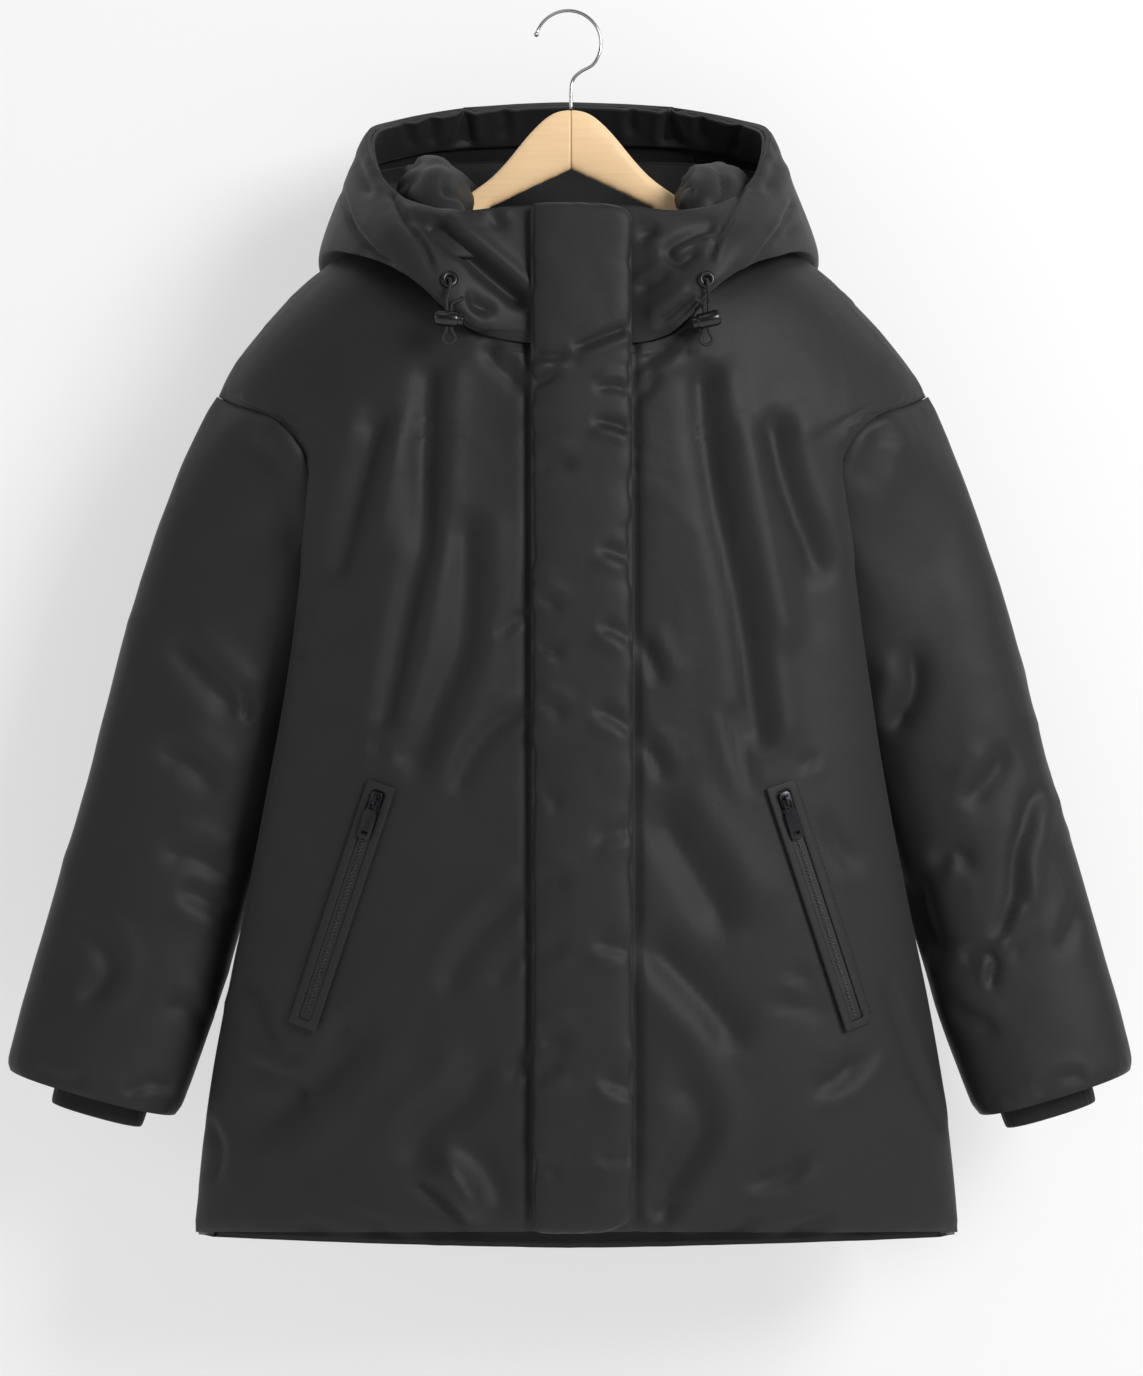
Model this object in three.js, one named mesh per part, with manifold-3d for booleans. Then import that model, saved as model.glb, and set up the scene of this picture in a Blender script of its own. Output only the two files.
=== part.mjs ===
// A hooded padded parka that hangs on a wooden hanger with a wire hook.
// Millimetres. +X is to the right and +Z is up as seen from the front, and the front faces -Y.
// The origin is the inside of the hook's top, where the hanger rests on a rail.
// Cloth pieces are walls: a grid of outer points, and the same grid moved in by the wall's thickness.

import * as THREE from "three";
import { mergeVertices } from "three/addons/utils/BufferGeometryUtils.js";
import Module from "manifold-3d";

const wasm = await Module();
wasm.setup();

// Walls and seams
const SEAM_GAP = 0.3;
const SHELL_WALL = 6;
const LINING_WALL = 3;
const LAID_ON = 0.8;

// How finely the cloth is divided
const ROWS_PER_STATION = 2;
const FRONT_COLUMNS = 10;
const SEAT_COLUMNS = 2;
const BACK_COLUMNS = 9;
const HOOD_STRIP_COLUMN = 15;

// Storm flap: half width, thickness, and the centre line it hangs on
const FLAP_HALF_WIDTH = 38.5;
const FLAP_THICK = 13;
const FLAP_SEAT_HALF = 45;
const FLAP_SECTION = table(["across", "out"], [
  [-1, 0], [1, 0], [1, 0.5], [0.93, 0.84], [0.62, 1], [0, 1.04], [-0.62, 1], [-0.93, 0.84], [-1, 0.5],
]);
const FLAP_CENTRE_TOP = 9.5;
const FLAP_CENTRE_HEM = 11.5;

// The coat leans a little to the right below the shoulders
const LEAN = 7;
const LEAN_FROM_Z = -180;
const LEAN_TO_Z = -420;

// Body sections from the neck to the hem. Each goes from the centre front round the flank to the
// seam (shoulder, armhole or side), and on round the back flank to the centre back.
const BODY = table(
  ["frontZ", "frontY", "flankU", "flankY", "flankZ", "seamU", "seamY", "seamZ", "seamBackY",
    "backU", "backY", "backZ", "middleY", "middleZ"],
  [
    [-268, -96, 106, -72, -215, 100, 0, -141, 0, 86, 46, -153, 74, -167],
    [-285, -96, 158, -58, -212, 150, 0, -170, 0, 140, 46, -192, 75, -192],
    [-303, -96, 196, -50, -240, 203, 0, -204, 0, 188, 46, -228, 76, -224],
    [-322, -97, 228, -46, -276, 250, 0, -254, 0, 228, 42, -270, 75, -262],
    [-340, -97, 244, -44, -301, 279, 0, -299, 0, 246, 42, -298, 74, -300],
    [-357, -98, 212, -66, -320, 241, -50, -314, 48, 214, 60, -318, 72, -340],
    [-375, -98, 190, -77, -344, 214, -66, -336, 62, 194, 68, -345, 71, -372],
    [-395, -98, 200, -72, -374, 201, -60, -368, 62, 186, 68, -374, 70, -405],
    [-428, -99, 209, -64, -420, 198, -42, -414, 56, 182, 64, -420, 70, -440],
    [-472, -99, 217, -58, -468, 199, -24, -464, 42, 184, 57, -468, 70, -480],
    [-530, -100, 226, -52, -528, 202, -6, -524, -6, 204, 46, -528, 70, -530],
    [-583, -100, 236, -48, -583, 207, -4, -583, -4, 208, 45, -583, 70, -583],
    [-680, -101, 254, -45, -682, 229, -4, -682, -4, 230, 44, -684, 70, -684],
    [-770, -101, 272, -41, -774, 256, -4, -775, -4, 257, 44, -780, 69, -785],
    [-860, -101, 285, -37, -866, 280, -3, -868, -3, 283, 43, -876, 68, -886],
    [-936, -98, 291, -34, -946, 291, -2, -951, -2, 291, 42, -961, 66, -974],
  ],
);
const TIP_STATION = 4;
const UNDERARM_STATION = 10;

// Points between the middle and the flank, as shares of the way across, back and down
const SEAT_SHARE = 0.25;
const CHEST = { across: 0.62, deep: 0.2, down: 0.25 };
const SHOULDER_BLADE = { across: 0.52, deep: 0.12, down: 0.3 };
const BACK_ROUND = { across: 0.5, deep: 2 };

// Sleeve sections below the armhole: the outer and inner edge, the middle's depth and half the depth
const SLEEVE_CENTRE = 1.5;
const SLEEVE = table(
  ["outU", "outZ", "inU", "inZ", "middleY", "halfDepth"],
  [
    [303, -347, 219, -556, 16, 46],
    [327, -411, 226, -584, 18, 46],
    [353, -490, 236, -618, 20, 46],
    [375, -583, 250, -666, 21, 44],
    [400, -665, 267, -728, 18, 43],
    [424, -750, 289, -800, 12, 42],
    [441, -823, 311, -861, 6, 42],
  ],
);

// How squarish the sleeve's and cuff's sections are: 2 is an ellipse
const ROUNDNESS = 2.3;

// Hood sections from the centre front round the side to the centre back: the face edge, the bulge,
// the lowest fold, the under layer, and how far the cloth turns back at the neck seam
const HOOD = table(
  ["rimU", "rimY", "rimZ", "bulgeU", "bulgeY", "bulgeZ", "foldU", "foldY", "foldZ",
    "underU", "underY", "underZ", "turn"],
  [
    [0, -96, -163, 0, -96, -200, 0, -96, -236, 0, -96, -254, 0],
    [45, -96, -164, 45, -96, -200, 45, -96, -238, 45, -96, -254, 0],
    [86, -93, -167, 92, -106, -205, 87, -114, -240, 82, -108, -253, 40],
    [132, -54, -148, 142, -88, -180, 133, -95, -211, 119, -84, -212, 110],
    [161, 8, -93, 179, 0, -145, 197, -10, -195, 150, -6, -162, 170],
    [140, 52, -75, 182, 74, -148, 196, 84, -226, 132, 70, -190, 170],
    [95, 80, -61, 142, 124, -146, 158, 134, -266, 98, 92, -216, 170],
    [48, 92, -55, 76, 150, -142, 84, 156, -288, 50, 100, -230, 170],
    [0, 95, -53, 0, 158, -140, 0, 162, -295, 0, 102, -234, 170],
  ],
);
const FACING_DEPTH = 36;
const FACING_ROWS = 2;
const OUTER_ROWS = 5;
const UNDER_ROWS = 3;
const LINING_ROWS = 3;
const LINING_START = 0.2;
const LINING_IN = 2.5;
const FOLD_PLACE = 0.5;
const LENGTH_STEPS = 60;

// Knit storm cuff
const CUFF_RIBS = 30;
const CUFF_HALF_WIDTH = 37;
const CUFF_HALF_DEPTH = 21;
const CUFF_WALL = 2.4;
const CUFF_RIB_HIGH = 0.9;
const CUFF_DROPS = [-45, -22, 18];
const CUFF_SEAT_ROWS = 2;
const CUFF_INWARD = 8;

// Where the rays start that find a place on the cloth
const IN_FRONT = -400;

// Slanted zip pockets: the top and bottom of the zip line, as distances from the coat's centre
const POCKET_CENTRE = 9.6;
const POCKET_TOP = { u: 149, z: -599 };
const POCKET_BOTTOM = { u: 210, z: -783 };
const WELT_HALF_WIDTH = 11;
const WELT_THICK = 3;
const SLOT_HALF_WIDTH = 4.8;
const SLOT_END = 6;
const WELT_STEPS = 8;
const TAPE_THICK = 1.2;
const SLIDER_DOWN = 13;
const SLIDER_LIFT = 1;
const SLIDER_AIM = 4;
const SLIDER_THICK = 3;
const SLIDER_OUTLINE = [
  [-4.5, -1.9], [-2.7, -6.5], [2.7, -6.5], [4.5, -1.9], [4.5, 4.6], [2.7, 6.5], [-2.7, 6.5], [-4.5, 4.6],
];
const BRIDGE_WIDE = 2.6;
const BRIDGE_OUTLINE = [
  [-3.7, 2.5], [-3.7, 5.8], [-2.2, 7.2], [2.2, 7.2], [3.7, 5.8], [3.7, 2.5],
  [2.2, 2.5], [2.2, 5.9], [-2.2, 5.9], [-2.2, 2.5],
];
const PIN_HEIGHT = 4.6;
const TAB_THICK = 1.6;
const TAB_OUTLINE = [
  [-3.5, 0.8], [3.5, 0.8], [3.5, -7.5], [5.15, -11], [5.15, -28.7], [3.65, -30.2],
  [-3.65, -30.2], [-5.15, -28.7], [-5.15, -11], [-3.5, -7.5],
];
const TAB_EYE = [[-2, -0.8], [-2, -7.4], [2, -7.4], [2, -0.8]];
const TAB_SLOT = [[-2.4, -24.5], [-2.4, -26.8], [2.4, -26.8], [2.4, -24.5]];
const TAB_REST_TILT = 4;

// Hood drawcords
const CORD_CENTRE = 7.5;
const EYELET_AT = { u: 96, z: -222 };
const SECOND_HOLE_AT = { u: 87, z: -236 };
const EYELET_PROFILE = table(["radius", "high"], [
  [2.6, 0], [6.6, 0], [6.6, 0.8], [5.7, 1.7], [4.6, 2], [3.5, 1.7], [2.6, 0.9], [2.6, 0],
]);
const EYELET_SIDES = 16;
const CORD_RADIUS = 1.35;
const ROUND_SIDES = 8;
const CORD_STEPS = 40;
const LOCK_LONG = 22.5;
const LOCK_RADIUS = 6;
const LOCK_PROFILE = table(["radius", "high"], [
  [0, -11.25], [3.6, -11.25], [4.6, -10.5], [4.8, -6.9], [5.2, -6.7], [6, -5],
  [6, 7.8], [5, 10], [3, 11], [0, 11.25],
]);
const LOCK_SIDES = 18;
const LOCK_CENTRE_Z = -252;
const LOCK_TILTS = { left: 6, right: -14 };
const CHANNEL_SLACK = 0.2;
const CHANNEL_LONG = 30;

// The cord leaves the eyelet, goes down through the lock, round below it and up to the second hole.
// Its places beside the lock, from the lock's centre: towards the sleeve, and up
const CORD_LIMB = 2.3;
const CORD_LOOP = table(["out", "up"], [
  [1.7, 13], [1.7, 7], [1.7, 0], [1.8, -7.4], [2.7, -10.4], [4.7, -13.6], [3.6, -17], [0, -18.6],
  [-3.6, -17], [-4.7, -13.6], [-2.7, -10.4], [-1.8, -7.4], [-1.7, 0], [-1.7, 7], [-2.2, 11],
]);

// Its places before a hole: out of the cloth, and down
const CORD_AT_EYELET = table(["out", "down"], [[-0.2, 0], [2.9, 1.2], [5.2, 5.5]]);
const CORD_AT_HOLE = table(["out", "down"], [[2.9, 1.6], [-0.2, 0]]);

// Hanger
const HANGER_CENTRE = 2.3;
const BAR_THICK = 12;
const WIRE_RADIUS = 1.5;
const HOOK_RADIUS = 25.7;
const HOOK_FROM = 164;
const HOOK_TO = -50;
const HOOK_STEP = 12;
const HOOK_STEPS = 34;
const HOOK_BALL_RADIUS = 2.3;
const HOOK_NECK = table(["x", "z"], [[8.5, -47], [3.3, -53], [2.3, -60]]);
const BAR = table(
  ["u", "top", "bottom"],
  [
    [0, -75.7, -123],
    [12, -77.5, -124],
    [24, -86, -128],
    [36, -99, -134],
    [48, -114, -143],
    [62, -129, -156],
    [78, -140.5, -165],
    [100, -154.7, -175.7],
    [150, -182.7, -202.7],
    [190, -208.7, -226.7],
    [204, -220.7, -231.7],
  ],
);
const BAR_SECTION = table(["across", "up"], [
  [0, 1], [0.6, 0.93], [1, 0.6], [1, -0.6], [0.6, -0.93],
  [0, -1], [-0.6, -0.93], [-1, -0.6], [-1, 0.6], [-0.6, 0.93],
]);

// Colours of the finishes
const SHELL_BLACK = { color: 0x2d2d2e, roughness: 0.75, metalness: 0 };
const LINING_BLACK = { color: 0x1b1b1c, roughness: 0.7, metalness: 0 };
const KNIT_BLACK = { color: 0x111112, roughness: 0.95, metalness: 0 };
const TAPE_BLACK = { color: 0x222223, roughness: 0.5, metalness: 0 };
const DARK_METAL = { color: 0x3a3b3d, roughness: 0.3, metalness: 0.9 };
const GLOSSY_PLASTIC = { color: 0x0c0c0d, roughness: 0.2, metalness: 0 };
const PALE_WOOD = { color: 0xebbe8c, roughness: 0.45, metalness: 0 };
const STEEL = { color: 0xc4c4c4, roughness: 0.25, metalness: 1 };

// Small helpers

function table(columns, rows) {
  return rows.map((row) => Object.fromEntries(columns.map((name, i) => [name, row[i]])));
}

function point(x, y, z) {
  return new THREE.Vector3(x, y, z);
}

function mix(a, b, t) {
  return a + (b - a) * t;
}

function smooth(from, to, value) {
  const t = Math.min(Math.max((value - from) / (to - from), 0), 1);
  return t * t * (3 - 2 * t);
}

// A smooth value between the rows of a table, column by column, at a place such as 2.5.
function between(rows, place) {
  const last = rows.length - 1;
  const start = Math.min(Math.max(Math.floor(place), 0), last - 1);
  const t = place - start;
  const near = [-1, 0, 1, 2].map((step) => rows[Math.min(Math.max(start + step, 0), last)]);
  const mixed = {};
  for (const name of Object.keys(rows[0])) {
    const [a, b, c, d] = near.map((row) => row[name]);
    const bend = (2 * a - 5 * b + 4 * c - d) * t + (3 * b - a - 3 * c + d) * t * t;
    mixed[name] = b + 0.5 * t * (c - a + bend);
  }
  return mixed;
}

// A cosine or sine moved outward, so that a round section comes out a little squarish.
function squarish(value) {
  return Math.sign(value) * Math.abs(value) ** (2 / ROUNDNESS);
}

function centreAt(z) {
  return LEAN * smooth(-LEAN_FROM_Z, -LEAN_TO_Z, -z);
}

function flapCentreAt(z) {
  const hem = BODY[BODY.length - 1].frontZ;
  return mix(FLAP_CENTRE_TOP, FLAP_CENTRE_HEM, z / hem);
}

function sided(side, u, y, z) {
  return point(centreAt(z) + side * u, y, z);
}

function curveThrough(controls, t) {
  const mixed = between(controls.map(({ x, y, z }) => ({ x, y, z })), t * (controls.length - 1));
  return point(mixed.x, mixed.y, mixed.z);
}

// Grids of outer points. Rows run down and columns run to the right as seen from outside;
// turn is -1 where the columns run to the left.

function gridOf(rows, columns, at) {
  const grid = [];
  for (let i = 0; i <= rows; i++) {
    grid.push([]);
    for (let j = 0; j <= columns; j++) grid[i].push(at(i, j));
  }
  return grid;
}

function normalsOf(piece) {
  const { grid, turn, around } = piece;
  const normals = grid.map((row) => row.map(() => point(0, 0, 0)));
  const width = grid[0].length;
  const across = around ? width : width - 1;
  for (let i = 0; i < grid.length - 1; i++) {
    for (let j = 0; j < across; j++) {
      const k = (j + 1) % width;
      const down = grid[i + 1][k].clone().sub(grid[i][j]);
      const right = grid[i][k].clone().sub(grid[i + 1][j]);
      const normal = down.cross(right).multiplyScalar(turn);
      for (const [r, c] of [[i, j], [i, k], [i + 1, j], [i + 1, k]]) normals[r][c].add(normal);
    }
  }
  return normals;
}

const sharedNormals = new Map();

function seamKey(p) {
  return [p.x, p.y, p.z].map((value) => value.toFixed(2)).join(" ");
}

// Pieces that meet at a seam use the same normal there, so that their walls meet on one plane.
function shareNormals(pieces) {
  for (const piece of pieces) {
    piece.normals = normalsOf(piece);
    piece.grid.forEach((row, i) => row.forEach((p, j) => {
      const key = seamKey(p);
      if (!sharedNormals.has(key)) sharedNormals.set(key, point(0, 0, 0));
      sharedNormals.get(key).add(piece.normals[i][j].clone().normalize());
    }));
  }
  for (const piece of pieces) {
    piece.normals = piece.grid.map((row) => (
      row.map((p) => sharedNormals.get(seamKey(p)).clone().normalize())
    ));
  }
}

// Half of the seam's gap is taken off each piece along its borders, square to the seam.
function trimStep(piece, i, j) {
  const { grid, normals, around } = piece;
  const height = grid.length;
  const width = grid[0].length;
  const step = point(0, 0, 0);
  const column = (c) => grid[i][around ? (c + width) % width : Math.min(Math.max(c, 0), width - 1)];
  const row = (r) => grid[Math.min(Math.max(r, 0), height - 1)][j];
  const inward = (next, before, after) => {
    const square = after.clone().sub(before).cross(normals[i][j]).normalize();
    const way = next.clone().sub(grid[i][j]);
    step.addScaledVector(square, Math.sign(square.dot(way)));
  };
  if (i === 0) inward(grid[1][j], column(j - 1), column(j + 1));
  if (i === height - 1) inward(grid[i - 1][j], column(j - 1), column(j + 1));
  if (!around && j === 0) inward(grid[i][1], row(i - 1), row(i + 1));
  if (!around && j === width - 1) inward(grid[i][j - 1], row(i - 1), row(i + 1));
  return step.multiplyScalar(SEAM_GAP / 2);
}

// The closed wall of a piece: outside, inside, and the four edges.
function wallGeometry(piece, thick, sunk = 0) {
  const { grid, normals, turn, around, lifts } = piece;
  const height = grid.length;
  const width = grid[0].length;
  const positions = [];
  for (const depth of [sunk, sunk + thick]) {
    for (let i = 0; i < height; i++) {
      for (let j = 0; j < width; j++) {
        const lift = lifts && depth === sunk ? lifts[i][j] : 0;
        const p = grid[i][j].clone().addScaledVector(normals[i][j], lift - depth).add(trimStep(piece, i, j));
        positions.push(p.x, p.y, p.z);
      }
    }
  }
  const outside = (i, j) => i * width + (j % width);
  const inside = (i, j) => height * width + i * width + (j % width);
  const faces = [];
  const triangle = (a, b, c) => faces.push(...(turn > 0 ? [a, b, c] : [a, c, b]));
  const quad = (a, b, c, d, falling = true) => {
    triangle(a, b, falling ? c : d);
    triangle(falling ? a : b, c, d);
  };
  const across = around ? width : width - 1;
  for (let i = 0; i < height - 1; i++) {
    for (let j = 0; j < across; j++) {
      const k = (j + 1) % width;
      const falling = grid[i][j].distanceTo(grid[i + 1][k]) < grid[i + 1][j].distanceTo(grid[i][k]);
      quad(outside(i, j), outside(i + 1, j), outside(i + 1, k), outside(i, k), falling);
      quad(inside(i, j), inside(i, k), inside(i + 1, k), inside(i + 1, j), falling);
    }
    if (around) continue;
    quad(outside(i, 0), inside(i, 0), inside(i + 1, 0), outside(i + 1, 0));
    quad(outside(i, width - 1), outside(i + 1, width - 1), inside(i + 1, width - 1), inside(i, width - 1));
  }
  for (let j = 0; j < across; j++) {
    const last = height - 1;
    quad(outside(0, j), outside(0, j + 1), inside(0, j + 1), inside(0, j));
    quad(outside(last, j), inside(last, j), inside(last, j + 1), outside(last, j + 1));
  }
  return indexed(positions, faces);
}

function indexed(positions, faces) {
  const geometry = new THREE.BufferGeometry();
  geometry.setAttribute("position", new THREE.Float32BufferAttribute(positions, 3));
  geometry.setIndex(faces);
  return geometry;
}

// A closed body through rings of points, with a flat cap on each end.
function loftGeometry(rings) {
  const size = rings[0].length;
  const positions = rings.flat().flatMap((p) => [p.x, p.y, p.z]);
  const faces = [];
  for (let i = 0; i < rings.length - 1; i++) {
    for (let j = 0; j < size; j++) {
      const k = (j + 1) % size;
      const [a, b, c, d] = [i * size + j, i * size + k, (i + 1) * size + k, (i + 1) * size + j];
      faces.push(a, b, c, a, c, d);
    }
  }
  const end = (rings.length - 1) * size;
  for (let j = 1; j < size - 1; j++) {
    faces.push(0, j + 1, j);
    faces.push(end, end + j, end + j + 1);
  }
  return indexed(positions, faces);
}

// Closed solids for joining and cutting
function solidOf(geometry) {
  const bare = geometry.clone();
  bare.deleteAttribute("normal");
  bare.deleteAttribute("uv");
  const merged = mergeVertices(bare, 1e-4);
  return new wasm.Manifold(new wasm.Mesh({
    numProp: 3,
    vertProperties: new Float32Array(merged.attributes.position.array),
    triVerts: new Uint32Array(merged.index.array),
  }));
}

function geometryOf(solid) {
  const mesh = solid.getMesh();
  return indexed(Array.from(mesh.vertProperties), Array.from(mesh.triVerts));
}

function facingOut(geometry) {
  return volumeOf(geometry) < 0 ? reversed(geometry) : geometry;
}

function volumeOf(geometry) {
  const at = geometry.attributes.position;
  const index = geometry.index;
  let volume = 0;
  for (let i = 0; i < index.count; i += 3) {
    const [a, b, c] = [0, 1, 2].map((k) => new THREE.Vector3().fromBufferAttribute(at, index.getX(i + k)));
    volume += a.dot(b.cross(c)) / 6;
  }
  return volume;
}

function reversed(geometry) {
  const turned = geometry.clone();
  const index = turned.index.array;
  for (let i = 0; i < index.length; i += 3) [index[i + 1], index[i + 2]] = [index[i + 2], index[i + 1]];
  return turned;
}

const garment = new THREE.Group();

function addPiece(name, geometry, finish) {
  const material = new THREE.MeshStandardMaterial({ ...finish, side: THREE.DoubleSide });
  const mesh = new THREE.Mesh(geometry, material);
  mesh.name = name;
  garment.add(mesh);
  return mesh;
}

// Front, back and sleeves

// Front and back share the seam outside the armhole.
function bodyRow(station) {
  const row = between(BODY, station);
  if (station <= TIP_STATION || station >= UNDERARM_STATION) {
    row.seamY = (row.seamY + row.seamBackY) / 2;
    row.seamBackY = row.seamY;
  }
  return row;
}

function frontPoint(side, station, s) {
  const row = bodyRow(station);
  const seatX = flapCentreAt(row.frontZ);
  const centre = point(seatX, row.frontY, row.frontZ);
  const seatEdge = point(seatX + side * FLAP_SEAT_HALF, row.frontY, row.frontZ);
  const flank = sided(side, row.flankU, row.flankY, row.flankZ);
  const seam = sided(side, row.seamU, row.seamY, row.seamZ);
  const chest = point(
    mix(seatEdge.x, flank.x, CHEST.across),
    mix(seatEdge.y, flank.y, CHEST.deep),
    mix(seatEdge.z, flank.z, CHEST.down),
  );
  if (s < SEAT_SHARE) return centre.lerp(seatEdge, s / SEAT_SHARE);
  return curveThrough([centre, seatEdge, chest, flank, seam], s);
}

function backPoint(side, station, s) {
  const row = bodyRow(station);
  const middle = point(centreAt(row.middleZ), row.middleY, row.middleZ);
  const flank = sided(side, row.backU, row.backY, row.backZ);
  const seam = sided(side, row.seamU, row.seamBackY, row.seamZ);
  const other = sided(-side, row.backU * BACK_ROUND.across, row.middleY - BACK_ROUND.deep, row.middleZ);
  const blade = point(
    mix(middle.x, flank.x, SHOULDER_BLADE.across),
    mix(row.middleY, row.backY, SHOULDER_BLADE.deep),
    mix(row.middleZ, row.backZ, SHOULDER_BLADE.down),
  );
  return curveThrough([other, middle, blade, flank, seam], mix(1, SEAT_SHARE, s));
}

const STATIONS = (BODY.length - 1) * ROWS_PER_STATION;

// The flap's seat has columns of its own, so that it stays flat.
function frontShare(column) {
  if (column <= SEAT_COLUMNS) return (SEAT_SHARE * column) / SEAT_COLUMNS;
  return mix(SEAT_SHARE, 1, (column - SEAT_COLUMNS) / (FRONT_COLUMNS - SEAT_COLUMNS));
}

function frontPiece(side) {
  const at = (i, j) => frontPoint(side, i / ROWS_PER_STATION, frontShare(j));
  const grid = gridOf(STATIONS, FRONT_COLUMNS, at);
  return { grid, turn: side, around: false };
}

function backPiece() {
  const grid = gridOf(STATIONS, 2 * BACK_COLUMNS, (i, j) => {
    const s = j / BACK_COLUMNS;
    return s <= 1 ? backPoint(-1, i / ROWS_PER_STATION, s) : backPoint(1, i / ROWS_PER_STATION, 2 - s);
  });
  return { grid, turn: -1, around: false };
}

// The sleeve's lowest point at the armhole lies just outside the body's.
const UNDERARM_DROP = 0.8;
const ARM_STEPS = (UNDERARM_STATION - TIP_STATION) * ROWS_PER_STATION;

function armholePoint(side, j) {
  const front = j <= ARM_STEPS;
  const step = front ? j : 2 * ARM_STEPS - j;
  const row = bodyRow(TIP_STATION + step / ROWS_PER_STATION);
  const drop = j === ARM_STEPS ? UNDERARM_DROP : 0;
  return sided(side, row.seamU + drop, front ? row.seamY : row.seamBackY, row.seamZ - drop);
}

function sleevePoint(side, station, j) {
  const row = between(SLEEVE, station);
  const angle = (Math.PI * j) / ARM_STEPS;
  const out = (1 + squarish(Math.cos(angle))) / 2;
  return point(
    mix(centreAt(row.inZ) + side * row.inU, SLEEVE_CENTRE + side * row.outU, out),
    row.middleY - row.halfDepth * squarish(Math.sin(angle)),
    mix(row.inZ, row.outZ, out),
  );
}

function sleevePiece(side) {
  const rows = 1 + (SLEEVE.length - 1) * ROWS_PER_STATION;
  const grid = gridOf(rows, 2 * ARM_STEPS - 1, (i, j) => (
    i === 0 ? armholePoint(side, j) : sleevePoint(side, (i - 1) / ROWS_PER_STATION, j)
  ));
  return { grid, turn: -side, around: true };
}

const body = {
  front_left: frontPiece(-1),
  front_right: frontPiece(1),
  back: backPiece(),
  sleeve_left: sleevePiece(-1),
  sleeve_right: sleevePiece(1),
};
shareNormals(Object.values(body));
for (const [name, piece] of Object.entries(body)) {
  addPiece(name, wallGeometry(piece, SHELL_WALL), SHELL_BLACK);
}

// Hood

const HALF_RING = FRONT_COLUMNS + BACK_COLUMNS;

// The hood's columns sit on the neck edge's columns: k runs from the centre front round to the back.
function neckEdge(side, k) {
  const piece = k <= FRONT_COLUMNS ? body[side < 0 ? "front_left" : "front_right"] : body.back;
  const backColumn = HALF_RING - k;
  const column = k <= FRONT_COLUMNS ? k : BACK_COLUMNS + side * backColumn;
  const at = piece.grid[0][column];
  const normal = piece.normals[0][column];
  const away = at.clone().sub(piece.grid[1][column]).normalize();
  return { at, normal, away };
}

function hoodStation(k) {
  const half = (HOOD.length - 1) / 2;
  return k <= FRONT_COLUMNS ? frontShare(k) * half : half + ((k - FRONT_COLUMNS) / BACK_COLUMNS) * half;
}

// At the front the hood stands on the neck edge; round the side and back it turns over the shoulder.
function neckSeam(side, k) {
  const { at, normal, away } = neckEdge(side, k);
  const turn = THREE.MathUtils.degToRad(between(HOOD, hoodStation(k)).turn);
  const start = at.clone()
    .addScaledVector(away, SEAM_GAP * Math.cos(turn / 2))
    .addScaledVector(normal, SEAM_GAP * Math.sin(turn / 2));
  const facing = normal.clone().multiplyScalar(Math.cos(turn)).addScaledVector(away, -Math.sin(turn));
  return { start, facing: facing.normalize() };
}

function hoodProfile(side, k) {
  const row = between(HOOD, hoodStation(k));
  const x = (z, u) => (k <= SEAT_COLUMNS ? flapCentreAt(z) : centreAt(z)) + side * u;
  const controls = ["rim", "bulge", "fold", "under"].map((name) => (
    point(x(row[name + "Z"], row[name + "U"]), row[name + "Y"], row[name + "Z"])
  ));
  controls.push(neckSeam(side, k).start);
  return new THREE.CatmullRomCurve3(controls, false, "centripetal");
}

// The point of a curve that lies a length past its start.
function afterLength(curve, length) {
  let passed = 0;
  let last = curve.getPoint(0);
  for (let step = 1; step <= LENGTH_STEPS; step++) {
    const next = curve.getPoint(step / LENGTH_STEPS);
    const stretch = next.distanceTo(last);
    if (passed + stretch >= length) return last.lerp(next, (length - passed) / stretch);
    passed += stretch;
    last = next;
  }
  return last;
}

function lengthTo(curve, place) {
  let passed = 0;
  let last = curve.getPoint(0);
  for (let step = 1; step <= LENGTH_STEPS * place; step++) {
    const next = curve.getPoint(step / LENGTH_STEPS);
    passed += next.distanceTo(last);
    last = next;
  }
  return passed;
}

function hoodPoint(side, k, i) {
  const curve = hoodProfile(side, k);
  const toFold = lengthTo(curve, FOLD_PLACE);
  if (i <= FACING_ROWS) return afterLength(curve, (FACING_DEPTH * i) / FACING_ROWS);
  if (i < OUTER_ROWS) {
    const share = (i - FACING_ROWS) / (OUTER_ROWS - FACING_ROWS);
    return afterLength(curve, mix(FACING_DEPTH, toFold, share));
  }
  return curve.getPoint(mix(FOLD_PLACE, 1, (i - OUTER_ROWS) / UNDER_ROWS));
}

const HOOD_ROWS = OUTER_ROWS + UNDER_ROWS;

function hoodPiece(side, firstColumn, lastColumn) {
  const grid = gridOf(HOOD_ROWS, lastColumn - firstColumn, (i, j) => hoodPoint(side, firstColumn + j, i));
  return { grid, turn: side, around: false };
}

function ringSide(j) {
  return j <= HALF_RING ? { side: -1, k: j } : { side: 1, k: 2 * HALF_RING - j };
}

function hoodCentrePiece() {
  const columns = 2 * (HALF_RING - HOOD_STRIP_COLUMN);
  const grid = gridOf(HOOD_ROWS, columns, (i, j) => {
    const { side, k } = ringSide(HOOD_STRIP_COLUMN + j);
    return hoodPoint(side, k, i);
  });
  return { grid, turn: -1, around: false };
}

const hood = {
  hood_side_left: hoodPiece(-1, 0, HOOD_STRIP_COLUMN),
  hood_side_right: hoodPiece(1, 0, HOOD_STRIP_COLUMN),
  hood_centre: hoodCentrePiece(),
};
sharedNormals.clear();
shareNormals(Object.values(hood));

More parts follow.
